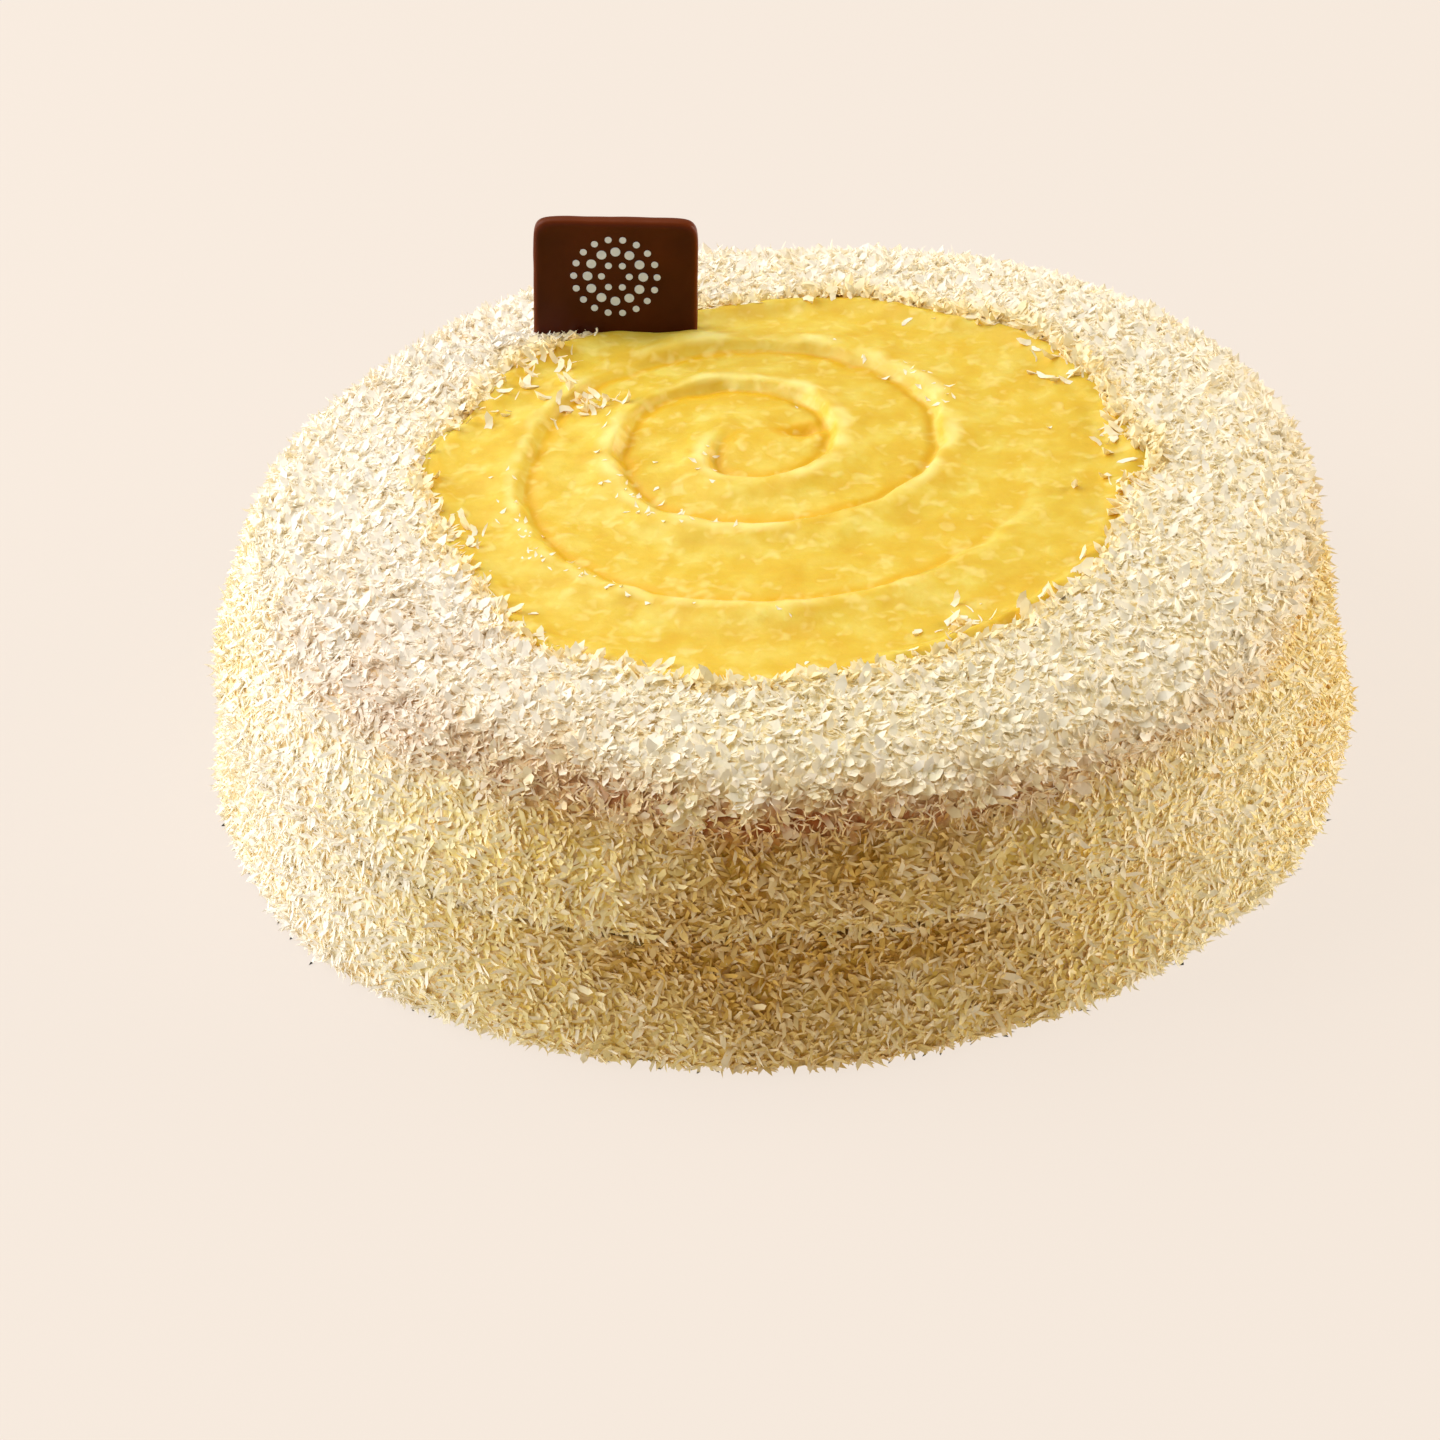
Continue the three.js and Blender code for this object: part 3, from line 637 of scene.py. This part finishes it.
def custard_grid():
    """Points of the custard pool and each point's share of the way from its middle to its rim."""
    shares = np.linspace(CUSTARD_EDGE[-1][0], CUSTARD_MIDDLE_SHARE, CUSTARD_ROWS + 1)[1:]
    section = np.array(CUSTARD_EDGE + [[share, CUSTARD_HEIGHT] for share in shares])
    share = section[:, :1]
    grid = turned_grid(section, CUSTARD_COLUMNS)
    direction = directions(grid)
    ragged = uneven(turned_grid([[RAGGED_RADIUS, 0]], CUSTARD_COLUMNS), "ragged rim")
    reach = value_round(CUSTARD_RIM, direction) + CUSTARD_OVERLAP + ragged * share ** RAGGED_POWER
    grid[..., :2] = CUSTARD_CENTRE + grid[..., :2] * reach[..., None]
    relief = swirl_relief(grid)[0] + spatula_marks(grid)
    relief += uneven(grid, "custard swells") + uneven(grid, "custard lumps")
    relief += rim_relief(grid, share, direction)
    relief += mounds_at(grid, CUSTARD_MOUNDS)
    at_back = smooth_ramp(grid[..., 1], *BACK_RISE["from_y"])
    relief += BACK_RISE["height"] * hump(share, *BACK_RISE["share"]) * at_back
    grid[..., 2] += relief * (1 - smooth_ramp(share, *RELIEF_FADE))
    return grid, np.broadcast_to(share, grid.shape[:2])


def custard_pool():
    """The custard, with a painted highlight on its crests, painted shade in its furrows, and the zones
    where coconut has fallen on it.
    """
    grid, share = custard_grid()
    relief, line, crumbs = swirl_relief(grid)
    patches = smooth_ramp(uneven(grid, "rim patches"), *RIM_COAT["patches"])
    clumps = mounds_at(grid, [((x, y), reach, 1.0) for x, y, reach in CLUMPS])
    clumps = RIM_COAT["clumps"] * clumps * smooth_ramp(share, *RIM_COAT["clump_share"])
    dimples = [entry for entry in CUSTARD_MOUNDS if entry[-1] < 0]
    lowered = relief + mounds_at(grid, dimples)
    shown = smooth_ramp(grid[..., 2], *COAT_FLOOR)
    on_top = 1 - smooth_ramp(share, *FLECK_COAT["ends"])
    return closed_grid_object("custard_top_pool", grid, {
        "rim_coat": shown * (hump(share, *RIM_COAT["share"]) * (RIM_COAT["least"] + patches) + clumps),
        "fleck_coat": shown * on_top * (FLECK_COAT["everywhere"] + crumbs),
        "ridge_highlight_and_shade": RELIEF_HIGHLIGHT * smooth_ramp(lowered, *CREST_RAMP) + LINE_HIGHLIGHT * line,
        "soaked": 1.0 + 0 * share,
    })


def strip_points(random, length, width, rings):
    """One bent strip of coconut along +X, rooted near its tail: its tail, its rings and its tip.

    Each ring has two upper corners and one below, so that a strip fills the gap under it."""
    bend = random.uniform(*STRIP["bend"]) * length
    sway = random.uniform(*STRIP["sway"]) * length
    twist = random.uniform(*STRIP["twist"])
    keel = random.uniform(*STRIP["keel"]) * width

    def spine(share):
        """Point on the strip's middle line, which bends up or down on both sides of its root."""
        rise = bend * (2 * (share - STRIP_TURN)) ** 2
        return np.array([(share - STRIP_ROOT) * length, sway * math.sin(math.pi * share), rise])

    points = [spine(0)]
    for share in np.linspace(*STRIP_RINGS, rings) if rings > 1 else [0.5]:
        half = 0.5 * width * random.uniform(*RING_SPAN)
        turn = math.radians(twist * (share - 0.5))
        edge = random.uniform(*RING_EDGE) * half
        aside = random.uniform(*RING_KEEL) * half
        for across, up in ((half, edge), (-half, 0), (aside, -keel)):
            y = across * math.cos(turn) - up * math.sin(turn)
            z = across * math.sin(turn) + up * math.cos(turn)
            points.append(spine(share) + (0, y, z))
    points.append(spine(1))
    return points


def strip_faces(rings, first):
    """Faces of a strip whose points start at a number: a fan at each end and quads between the rings."""
    faces = []
    last = 3 * (rings - 1)
    for corner in range(3):
        here = 1 + corner
        beside = 1 + (corner + 1) % 3
        faces.append([0, here, beside])
        for start in range(0, last, 3):
            faces.append([here + start, here + start + 3, beside + start + 3, beside + start])
        faces.append([last + 4, beside + last, here + last])
    return [[first + corner for corner in face] for face in faces]


def shred_shapes(name, kind):
    """A collection of small shapes of one kind of shred."""
    random = np.random.default_rng(SHRED_SEED)
    shapes = bpy.data.collections.new(name)
    bpy.context.scene.collection.children.link(shapes)
    count, length, width, rings, strips = kind
    for _ in range(count):
        points = []
        faces = []
        for strip in range(strips):
            long = length * random.uniform(*STRIP["length"])
            wide = width * random.uniform(*STRIP["width"])
            bent = np.array(strip_points(random, long, wide, rings))
            if strip:
                spread = Euler([random.uniform(*span) for span in TUFT_SPREAD])
                bent = bent @ np.array(spread.to_matrix()).T
            faces += strip_faces(rings, len(points))
            points += bent.tolist()
        shape = mesh_object(f"{name}_{len(shapes.objects)}", points, faces, smooth=False)
        bpy.context.scene.collection.objects.unlink(shape)
        shapes.objects.link(shape)
    return shapes


def new_tree(name, inputs):
    """An empty Geometry Nodes tree that takes a mesh and named inputs, and what feeds them."""
    tree = bpy.data.node_groups.new(name, "GeometryNodeTree")
    tree.is_modifier = True
    for label, kind in {"Geometry": "Geometry", **inputs}.items():
        tree.interface.new_socket(label, in_out="INPUT", socket_type="NodeSocket" + kind)
    tree.interface.new_socket("Geometry", in_out="OUTPUT", socket_type="NodeSocketGeometry")
    return tree, add_node(tree, "NodeGroupInput").node.outputs


def random_draws(tree, given):
    """Random lift, roll, turn, size and tone of each piece of coconut."""
    backward_roll = add_node(tree, "ShaderNodeMath", {0: given["Roll"], 1: -1.0}, operation="MULTIPLY")
    ranges = [
        (given["Lowest lift"], given["Highest lift"]),
        (backward_roll, given["Roll"]),
        (0.0, 2 * math.pi),
        (given["Smallest"], given["Largest"]),
        (0.0, 1.0),
    ]
    draws = []
    for salt, (low, high) in enumerate(ranges, 1):
        salted = add_node(tree, "ShaderNodeMath", {0: given["Seed"], 1: salt}, operation="ADD")
        draws.append(add_node(tree, "FunctionNodeRandomValue", {2: low, 3: high, "Seed": salted}, output=1))
    return draws


def scatter_tree():
    """Geometry Nodes that strew small shapes over a surface, where the zone's attribute says."""
    tree, given = new_tree("coconut_scatter", {
        "Zone": "String", "Shapes": "Collection", "Finish": "Material", "Pieces per square metre": "Float",
        "Lowest lift": "Float", "Highest lift": "Float", "Roll": "Float", "Smallest": "Float",
        "Largest": "Float", "Seed": "Int"})
    zone = add_node(tree, "GeometryNodeInputNamedAttribute", {"Name": given["Zone"]}, data_type="FLOAT")
    density = add_node(tree, "ShaderNodeMath", {
        0: zone, 1: given["Pieces per square metre"]}, operation="MULTIPLY")
    spots = add_node(tree, "GeometryNodeDistributePointsOnFaces", {
        "Mesh": given["Geometry"], "Density": density, "Seed": given["Seed"]},
        distribute_method="RANDOM").node.outputs
    lift, roll, turn, scale, tone = random_draws(tree, given)
    raised_tip = add_node(tree, "ShaderNodeMath", {0: lift, 1: -1.0}, operation="MULTIPLY")
    angles = add_node(tree, "ShaderNodeCombineXYZ", {"X": roll, "Y": raised_tip, "Z": turn})
    posed = add_node(tree, "FunctionNodeEulerToRotation", {0: angles})
    rotation = add_node(tree, "FunctionNodeRotateRotation", {
        0: spots["Rotation"], 1: posed}, rotation_space="LOCAL")
    shapes = add_node(tree, "GeometryNodeCollectionInfo", {
        "Collection": given["Shapes"], "Separate Children": True, "Reset Children": True})
    pick = add_node(tree, "FunctionNodeRandomValue", {
        4: 0, 5: HIGHEST_PICK, "Seed": given["Seed"]}, output=2, data_type="INT")
    placed = add_node(tree, "GeometryNodeInstanceOnPoints", {
        "Points": spots["Points"], "Instance": shapes, "Pick Instance": True, "Instance Index": pick,
        "Rotation": rotation, "Scale": scale})
    toned = add_node(tree, "GeometryNodeStoreNamedAttribute", {
        "Geometry": placed, "Name": "tone", "Value": tone}, data_type="FLOAT", domain="INSTANCE")
    joined = add_node(tree, "GeometryNodeRealizeInstances", {"Geometry": toned})
    clearance = add_node(tree, "GeometryNodeProximity", {
        "Target": given["Geometry"]}, output="Distance", target_element="FACES")
    measured = add_node(tree, "GeometryNodeStoreNamedAttribute", {
        "Geometry": joined, "Name": "raised", "Value": clearance}, data_type="FLOAT", domain="POINT")
    finished = add_node(
        tree, "GeometryNodeSetMaterial", {"Geometry": measured, "Material": given["Finish"]})
    add_node(tree, "NodeGroupOutput", {0: finished})
    return tree


def with_nodes(obj, tree, values):
    """Plain mesh that a Geometry Nodes tree makes of an object, with the tree's inputs set by name."""
    modifier = obj.modifiers.new(tree.name, "NODES")
    modifier.node_group = tree
    for socket in tree.interface.items_tree:
        if socket.in_out == "INPUT" and socket.name in values:
            modifier[socket.identifier] = values[socket.name]
    obj.update_tag()
    mesh = bpy.data.meshes.new_from_object(obj.evaluated_get(bpy.context.evaluated_depsgraph_get()))
    obj.modifiers.remove(modifier)
    return mesh


def scatter(name, carrier, tree, values):
    """Strews shapes over a carrier surface and returns them as one plain mesh object above the ground."""
    mesh = with_nodes(carrier, tree, values)
    mesh.name = name
    places = np.empty(3 * len(mesh.vertices), np.float32)
    mesh.vertices.foreach_get("co", places)
    places[2::3] = np.maximum(places[2::3], LOWEST_SHRED * MM)
    mesh.vertices.foreach_set("co", places)
    return add_object(name, mesh)


def moved(points, place):
    """Points turned and shifted by a 4 by 4 matrix."""
    return points @ place[:3, :3].T + place[:3, 3]


def plaque_place():
    """Turns and lifts the plaque from the origin to where it stands."""
    height = PLAQUE_TOP_HEIGHT - PLAQUE_SIDE / 2
    stood = Matrix.Translation((*PLAQUE_FOOT, height)) @ Matrix.Rotation(math.radians(PLAQUE_TURN), 4, "Z")
    leaned = stood @ Matrix.Rotation(math.radians(PLAQUE_LEAN), 4, "Y")
    return np.array(leaned @ Matrix.Rotation(math.radians(90), 4, "X"))


def plaque_plate():
    """Moulded square with soft edges: a turned grid whose turns are squared off."""
    turns = np.linspace(0, 2 * math.pi, PLAQUE_COLUMNS, endpoint=False)
    across = np.abs(np.cos(turns)) ** PLAQUE_SQUARENESS + np.abs(np.sin(turns)) ** PLAQUE_SQUARENESS
    section = np.array(PLAQUE_SECTION)
    share = 1 - section[:, 0] / (PLAQUE_SIDE / 2)
    reach = PLAQUE_SIDE / 2 * across ** (-1 / PLAQUE_SQUARENESS)
    grid = turned_grid(np.stack([share, section[:, 1]], 1), PLAQUE_COLUMNS)
    grid[..., :2] *= reach[:, None]
    grid += grid_normals(grid) * uneven(grid, "plaque swell")[..., None]
    edge = hump(section[:, 0], *SCUFF_AND_HIGHLIGHT_BAND)[:, None] + 0 * turns
    return closed_grid_object("chocolate_plaque_plate", moved(grid, plaque_place()), {"edge": edge})


def new_material(name, attributes=(), lumps=(), **shader):
    """A material with one Principled shader, and what feeds the colours: the attributes, then the noises.

    Each noise reads object coordinates and is (size of its lumps in millimetres, detail, distortion).
    Uniform values are set on the shader's own sockets."""
    material = bpy.data.materials.new(name)
    material.use_nodes = True
    tree = material.node_tree
    for key, value in shader.items():
        tree.nodes["Principled BSDF"].inputs[key.replace("_", " ")].default_value = value
    feeds = []
    for label in attributes:
        feeds.append(add_node(tree, "ShaderNodeAttribute", output="Fac", attribute_name=label))
    for size, detail, distortion in lumps:
        place = add_node(tree, "ShaderNodeTexCoord", output="Object")
        feeds.append(add_node(tree, "ShaderNodeTexNoise", {
            "Vector": place, "Scale": 1 / (size * MM), "Detail": detail, "Distortion": distortion}))
    return material, tree, feeds


def finish_material(material, colour, height=None, depth=0.0, roughness=None):
    """Feeds a material's shader: its colour, its bump of a depth in millimetres, and its roughness."""
    tree = material.node_tree
    feeds = {"Base Color": colour, "Roughness": roughness}
    if height is not None:
        feeds["Normal"] = add_node(tree, "ShaderNodeBump", {"Height": height, "Distance": depth * MM})
    for key, socket in feeds.items():
        if socket is not None:
            tree.links.new(socket, tree.nodes["Principled BSDF"].inputs[key])
    return material


def coconut_finish():
    """Desiccated coconut, grated and dried: matte ivory shreds with a fine grain of 0.5 mm.

    Their roots, low in the gaps, are painted shade and glow for the light the shreds let into the gaps:
    amber on the yellow side, near white on the ring, with the crust's own brown by the crust. By the
    custard they are wet and lemon."""
    material, tree, (tone, yellow_and_shade, soaked, crust, raised, grain) = new_material(
        "dried_coconut_grated", ["tone", "yellow_and_shade", "soaked", "crust", "raised"], [(0.5, 2.0, 0.0)],
        Roughness=0.6, Specular_IOR_Level=0.15)
    tips = add_node(tree, "ShaderNodeValToRGB", {"Fac": yellow_and_shade}, stops=[
        (0.0, "#fdf8ee"), (0.15, "#f6edc8"), (0.45, "#f3e2a2"), (1.0, "#dbb35a")])
    palest = add_node(
        tree, "ShaderNodeMix", {0: yellow_and_shade, 6: "#fdf8ec", 7: "#f7e3b2"}, output=2, data_type="RGBA")
    paler = add_node(tree, "ShaderNodeMapRange", {"Value": tone, "From Min": 0.3, "To Max": 0.9})
    wet = add_node(tree, "ShaderNodeMath", {0: soaked, 1: 0.5}, operation="MULTIPLY")
    toasted = add_node(tree, "ShaderNodeMath", {0: crust, 1: 0.36}, operation="MULTIPLY")
    for share, over in ((paler, palest), (wet, "#fae48c"), (toasted, "#d09040")):
        tips = add_node(tree, "ShaderNodeMix", {0: share, 6: tips, 7: over}, output=2, data_type="RGBA")
    # Painted shade and glow: below the tip height a shred takes its root's colour, amber on the yellow side
    height = add_node(tree, "ShaderNodeMapRange", {"Value": raised, "From Max": GAP_SHADE_HEIGHT * MM})
    colour = add_node(tree, "ShaderNodeValToRGB", {"Fac": yellow_and_shade}, stops=[
        (0.0, "#fff8e2"), (0.15, "#fdf0b0"), (0.4, "#f2d664"), (1.0, "#b27c00")])
    for share, over in ((crust, "#b25f25"), (height, tips)):
        colour = add_node(tree, "ShaderNodeMix", {0: share, 6: colour, 7: over}, output=2, data_type="RGBA")
    return finish_material(material, colour, grain, depth=0.03)


def crumb_finish():
    """Baked egg sponge, cut and browned at the top's edge: open matte crumb with pores under a millimetre.

    It is yellow on the front, where it shows and where the yellowness it reads is also painted shade, and
    as pale as coconut where the coat is packed on it."""
    material, tree, (yellow_and_shade, crust, crumb, baking, pores) = new_material(
        "egg_sponge_baked", ["yellow_and_shade", "crust"], [(2.5, 3.0, 0.0), (4.0, 3.0, 0.0), (0.8, 3.0, 0.0)],
        Roughness=0.85, Specular_IOR_Level=0.2)
    sponge = add_node(tree, "ShaderNodeValToRGB", {"Fac": crumb}, stops=[
        (0.3, "#b98d2c"), (0.55, "#cfa640"), (0.75, "#e6c76e")])
    patchy = add_node(tree, "ShaderNodeMapRange", {"Value": baking, "From Min": 0.35, "From Max": 0.5})
    baked = add_node(tree, "ShaderNodeMath", {0: crust, 1: patchy}, operation="MULTIPLY", use_clamp=True)
    colour = "#fae4b4"
    for share, over in ((yellow_and_shade, sponge), (baked, "#a35c28")):
        colour = add_node(tree, "ShaderNodeMix", {0: share, 6: colour, 7: over}, output=2, data_type="RGBA")
    return finish_material(material, colour, pores, depth=0.6)


def custard_finish():
    """Cooked egg custard, spread with a spatula: moist soft gloss, slightly translucent.

    It has clouds of 8 mm, paler flecks of 3 mm, curds of 2 mm and wetter places of 5 mm. Its crests have a
    painted highlight, and its furrows have painted shade in a deeper amber."""
    material, tree, (ridge_highlight_and_shade, clouds, specks, curds, wetness) = new_material(
        "egg_custard_spread", ["ridge_highlight_and_shade"],
        [(8.0, 3.0, 0.0), (3.2, 1.0, 0.3), (1.8, 3.0, 0.0), (5.0, 3.0, 0.0)],
        Subsurface_Weight=0.5, Subsurface_Scale=0.004, Subsurface_Radius=(1.0, 0.7, 0.3), IOR=1.42)
    cloudy = add_node(tree, "ShaderNodeValToRGB", {"Fac": clouds}, stops=[
        (0.3, "#e5bc38"), (0.5, "#eac946"), (0.7, "#f0da68")])
    beside_furrow_shade = add_node(tree, "ShaderNodeMapRange", {"Value": ridge_highlight_and_shade, "From Max": 0.05})
    top = add_node(tree, "ShaderNodeMapRange", {"Value": ridge_highlight_and_shade, "From Min": 0.34, "To Max": 0.8})
    fleck = add_node(tree, "ShaderNodeMapRange", {
        "Value": specks, "From Min": 0.55, "From Max": 0.75, "To Max": 0.5})
    # Painted shade: this deeper amber shows in the furrows and dimples, and a painted highlight pales the
    # crests
    colour = "#edba1a"
    for share, over in ((beside_furrow_shade, cloudy), (top, "#fcf09a"), (fleck, "#fdea92")):
        colour = add_node(tree, "ShaderNodeMix", {0: share, 6: colour, 7: over}, output=2, data_type="RGBA")
    swollen = add_node(tree, "ShaderNodeMath", {0: fleck, 1: curds}, operation="ADD")
    gloss = add_node(tree, "ShaderNodeMapRange", {"Value": wetness, "To Min": 0.28, "To Max": 0.45})
    return finish_material(material, colour, swollen, depth=0.12, roughness=gloss)


def chocolate_finish():
    """Tempered dark chocolate, moulded: soft satin gloss, paler along its edges, partly scuffed and partly
    a painted highlight on the rounded rim.

    Its colour clouds over 12 mm, its gloss over 7 mm, and its face is wavy over 3 mm."""
    material, tree, (edge, clouds, satin, waves) = new_material(
        "tempered_chocolate_moulded", ["edge"], [(12.0, 3.0, 0.0), (7.0, 3.0, 0.0), (3.0, 3.0, 0.0)],
        Specular_IOR_Level=0.15)
    cloudy = add_node(
        tree, "ShaderNodeValToRGB", {"Fac": clouds}, stops=[(0.35, "#3c1003"), (0.7, "#4a1805")])
    # Paler edge: partly scuffing, partly a painted highlight
    scuff_and_highlight = add_node(tree, "ShaderNodeMath", {0: edge, 1: 0.3}, operation="MULTIPLY")
    colour = add_node(
        tree, "ShaderNodeMix", {0: scuff_and_highlight, 6: cloudy, 7: "#96450e"}, output=2, data_type="RGBA")
    gloss = add_node(tree, "ShaderNodeMapRange", {"Value": satin, "To Min": 0.28, "To Max": 0.42})
    return finish_material(material, colour, waves, depth=0.1, roughness=gloss)


def print_finish():
    """Cocoa-butter print: a thin matte pale grey film, uneven over 1.5 mm."""
    material, tree, (film,) = new_material("cocoa_butter_print", [], [(1.5, 3.0, 0.0)], Roughness=0.55)
    colour = add_node(
        tree, "ShaderNodeValToRGB", {"Fac": film}, stops=[(0.3, "#c6d3e8"), (0.7, "#d4dff0")])
    return finish_material(material, colour)


def dot_tree():
    """Geometry Nodes for a ring of flat round dots in the XY plane."""
    tree, given = new_tree("ring_of_dots", {
        "Dots": "Int", "Ring radius": "Float", "Dot radius": "Float", "Film": "Float",
        "Finish": "Material"})
    ring = add_node(tree, "GeometryNodeMeshCircle", {
        "Vertices": given["Dots"], "Radius": given["Ring radius"]}, fill_type="NONE")
    dot = add_node(tree, "GeometryNodeMeshCylinder", {
        "Vertices": DOT_CORNERS, "Radius": given["Dot radius"], "Depth": given["Film"]}, fill_type="NGON")
    placed = add_node(tree, "GeometryNodeInstanceOnPoints", {"Points": ring, "Instance": dot})
    joined = add_node(tree, "GeometryNodeRealizeInstances", {"Geometry": placed})
    finished = add_node(tree, "GeometryNodeSetMaterial", {"Geometry": joined, "Material": given["Finish"]})
    add_node(tree, "NodeGroupOutput", {0: finished})
    return tree


def plaque_ornament(finish):
    """A plain roundel of dots printed on the plaque's face."""
    tree = dot_tree()
    carrier = mesh_object("ornament_carrier", [(0, 0, 0)], [])
    points = []
    faces = []
    for dots, ring_radius, dot_radius in ORNAMENT_RINGS:
        mesh = with_nodes(carrier, tree, {
            "Dots": dots, "Ring radius": ring_radius, "Dot radius": dot_radius,
            "Film": ORNAMENT_FILM, "Finish": finish})
        faces += [[len(points) + v for v in face.vertices] for face in mesh.polygons]
        points += [list(vertex.co) for vertex in mesh.vertices]
        bpy.data.meshes.remove(mesh)
    bpy.data.objects.remove(carrier)
    local = np.array(points) + (0, ORNAMENT_LIFT, ORNAMENT_DEPTH)
    return mesh_object("plaque_ornament", moved(local, plaque_place()), faces, smooth=False)


def dress(obj, material, slot, *nodes):
    """Gives a finished piece its finish and its body, and hides the nodes that it stands for. Its slot is
    not used.
    """
    obj.data.materials.clear()
    obj.data.materials.append(material)
    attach(obj, BODY)
    if nodes:
        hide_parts(*nodes)


def coat_cake(carriers, finish):
    """Strews the coconut over the top, the crust, the sides and the custard's rim."""
    tree = scatter_tree()
    shapes = {name: shred_shapes(name, kind) for name, kind in SHREDS.items()}
    for seed, (carrier, zone, kind, density, lift, size) in enumerate(COATS, FIRST_COAT_SEED):
        coat = scatter(f"coconut_{kind}s_{carrier}_{zone}", carriers[carrier], tree, {
            "Zone": zone, "Shapes": shapes[kind], "Finish": finish,
            "Pieces per square metre": density / MM ** 2, "Lowest lift": lift[0], "Highest lift": lift[1],
            "Roll": COAT_ROLL, "Smallest": size[0], "Largest": size[1], "Seed": seed})
        dress(coat, finish, "coconut_sponge")
    for collection in shapes.values():
        bpy.data.batch_remove([*collection.objects, collection])


def place_camera():
    """Points the camera by its yaw, pitch and roll, with its matrix set directly."""
    yaw, pitch, roll = np.radians(CAMERA_ANGLES).tolist()
    forward = Vector((math.sin(yaw) * math.cos(pitch), math.cos(yaw) * math.cos(pitch), -math.sin(pitch)))
    level = forward.cross(Vector((0, 0, 1))).normalized()
    upright = level.cross(forward)
    right = level * math.cos(roll) + upright * math.sin(roll)
    up = upright * math.cos(roll) - level * math.sin(roll)
    camera = add_object("camera", bpy.data.cameras.new("camera"))
    camera.data.lens = LENS
    camera.data.sensor_width = SENSOR
    camera.data.clip_end = CLIP_END * MM
    turned = Matrix((right, up, -forward)).transposed().to_4x4()
    camera.matrix_world = Matrix.Translation(Vector(CAMERA_PLACE) * MM) @ turned
    bpy.context.scene.camera = camera


def area_light(name, place, size, power, colour):
    """A round soft light that faces the middle of the cake."""
    light = bpy.data.lights.new(name, "AREA")
    light.shape = "DISK"
    light.size = size * MM
    light.energy = power
    light.color = linear(colour)[:3]
    obj = add_object(name, light)
    obj.location = Vector(place) * MM
    obj.rotation_euler = (Vector(place) - Vector(LIGHT_AIM)).to_track_quat("Z", "Y").to_euler()


def light_scene():
    """Soft studio light: a key from the left, a fill from far on the right and a light from above."""
    scene = bpy.context.scene
    scene.view_settings.view_transform = "Standard"
    scene.cycles.diffuse_bounces = DIFFUSE_BOUNCES
    scene.world = bpy.data.worlds.new("studio")
    scene.world.use_nodes = True
    sky = scene.world.node_tree.nodes["Background"].inputs
    sky["Color"].default_value = linear(SKY_COLOUR)
    sky["Strength"].default_value = SKY_STRENGTH
    for name, settings in LIGHTS.items():
        area_light(name, *settings)


def studio_floor():
    """Seamless paper, which also glows evenly, so that it is bright all over with only a faint shadow."""
    corners = [(x * FLOOR_REACH, y * FLOOR_REACH, 0) for x, y in ((-1, -1), (1, -1), (1, 1), (-1, 1))]
    floor = mesh_object("studio_floor", corners, [[0, 1, 2, 3]])
    material = new_material(
        "seamless_paper", Base_Color=linear("#55504c"), Roughness=0.9, Specular_IOR_Level=0.0,
        Emission_Color=linear("#f7ebdf"), Emission_Strength=FLOOR_GLOW)[0]
    floor.data.materials.append(material)


place_camera()
light_scene()
studio_floor()
coconut = coconut_finish()
crumb = crumb_finish()
pale_print = print_finish()
lower_crumb = lower_core()
upper_crumb = upper_core()
pool = custard_pool()
coat_cake({"lower": lower_crumb, "upper": upper_crumb, "custard": pool}, coconut)
dress(lower_crumb, crumb, "coconut_sponge", "lower_sponge")
dress(upper_crumb, crumb, "coconut_sponge", "upper_sponge")
dress(pool, custard_finish(), "custard", "custard_top")
dress(plaque_plate(), chocolate_finish(), "chocolate", "chocolate_plaque")
dress(plaque_ornament(pale_print), pale_print, "chocolate")
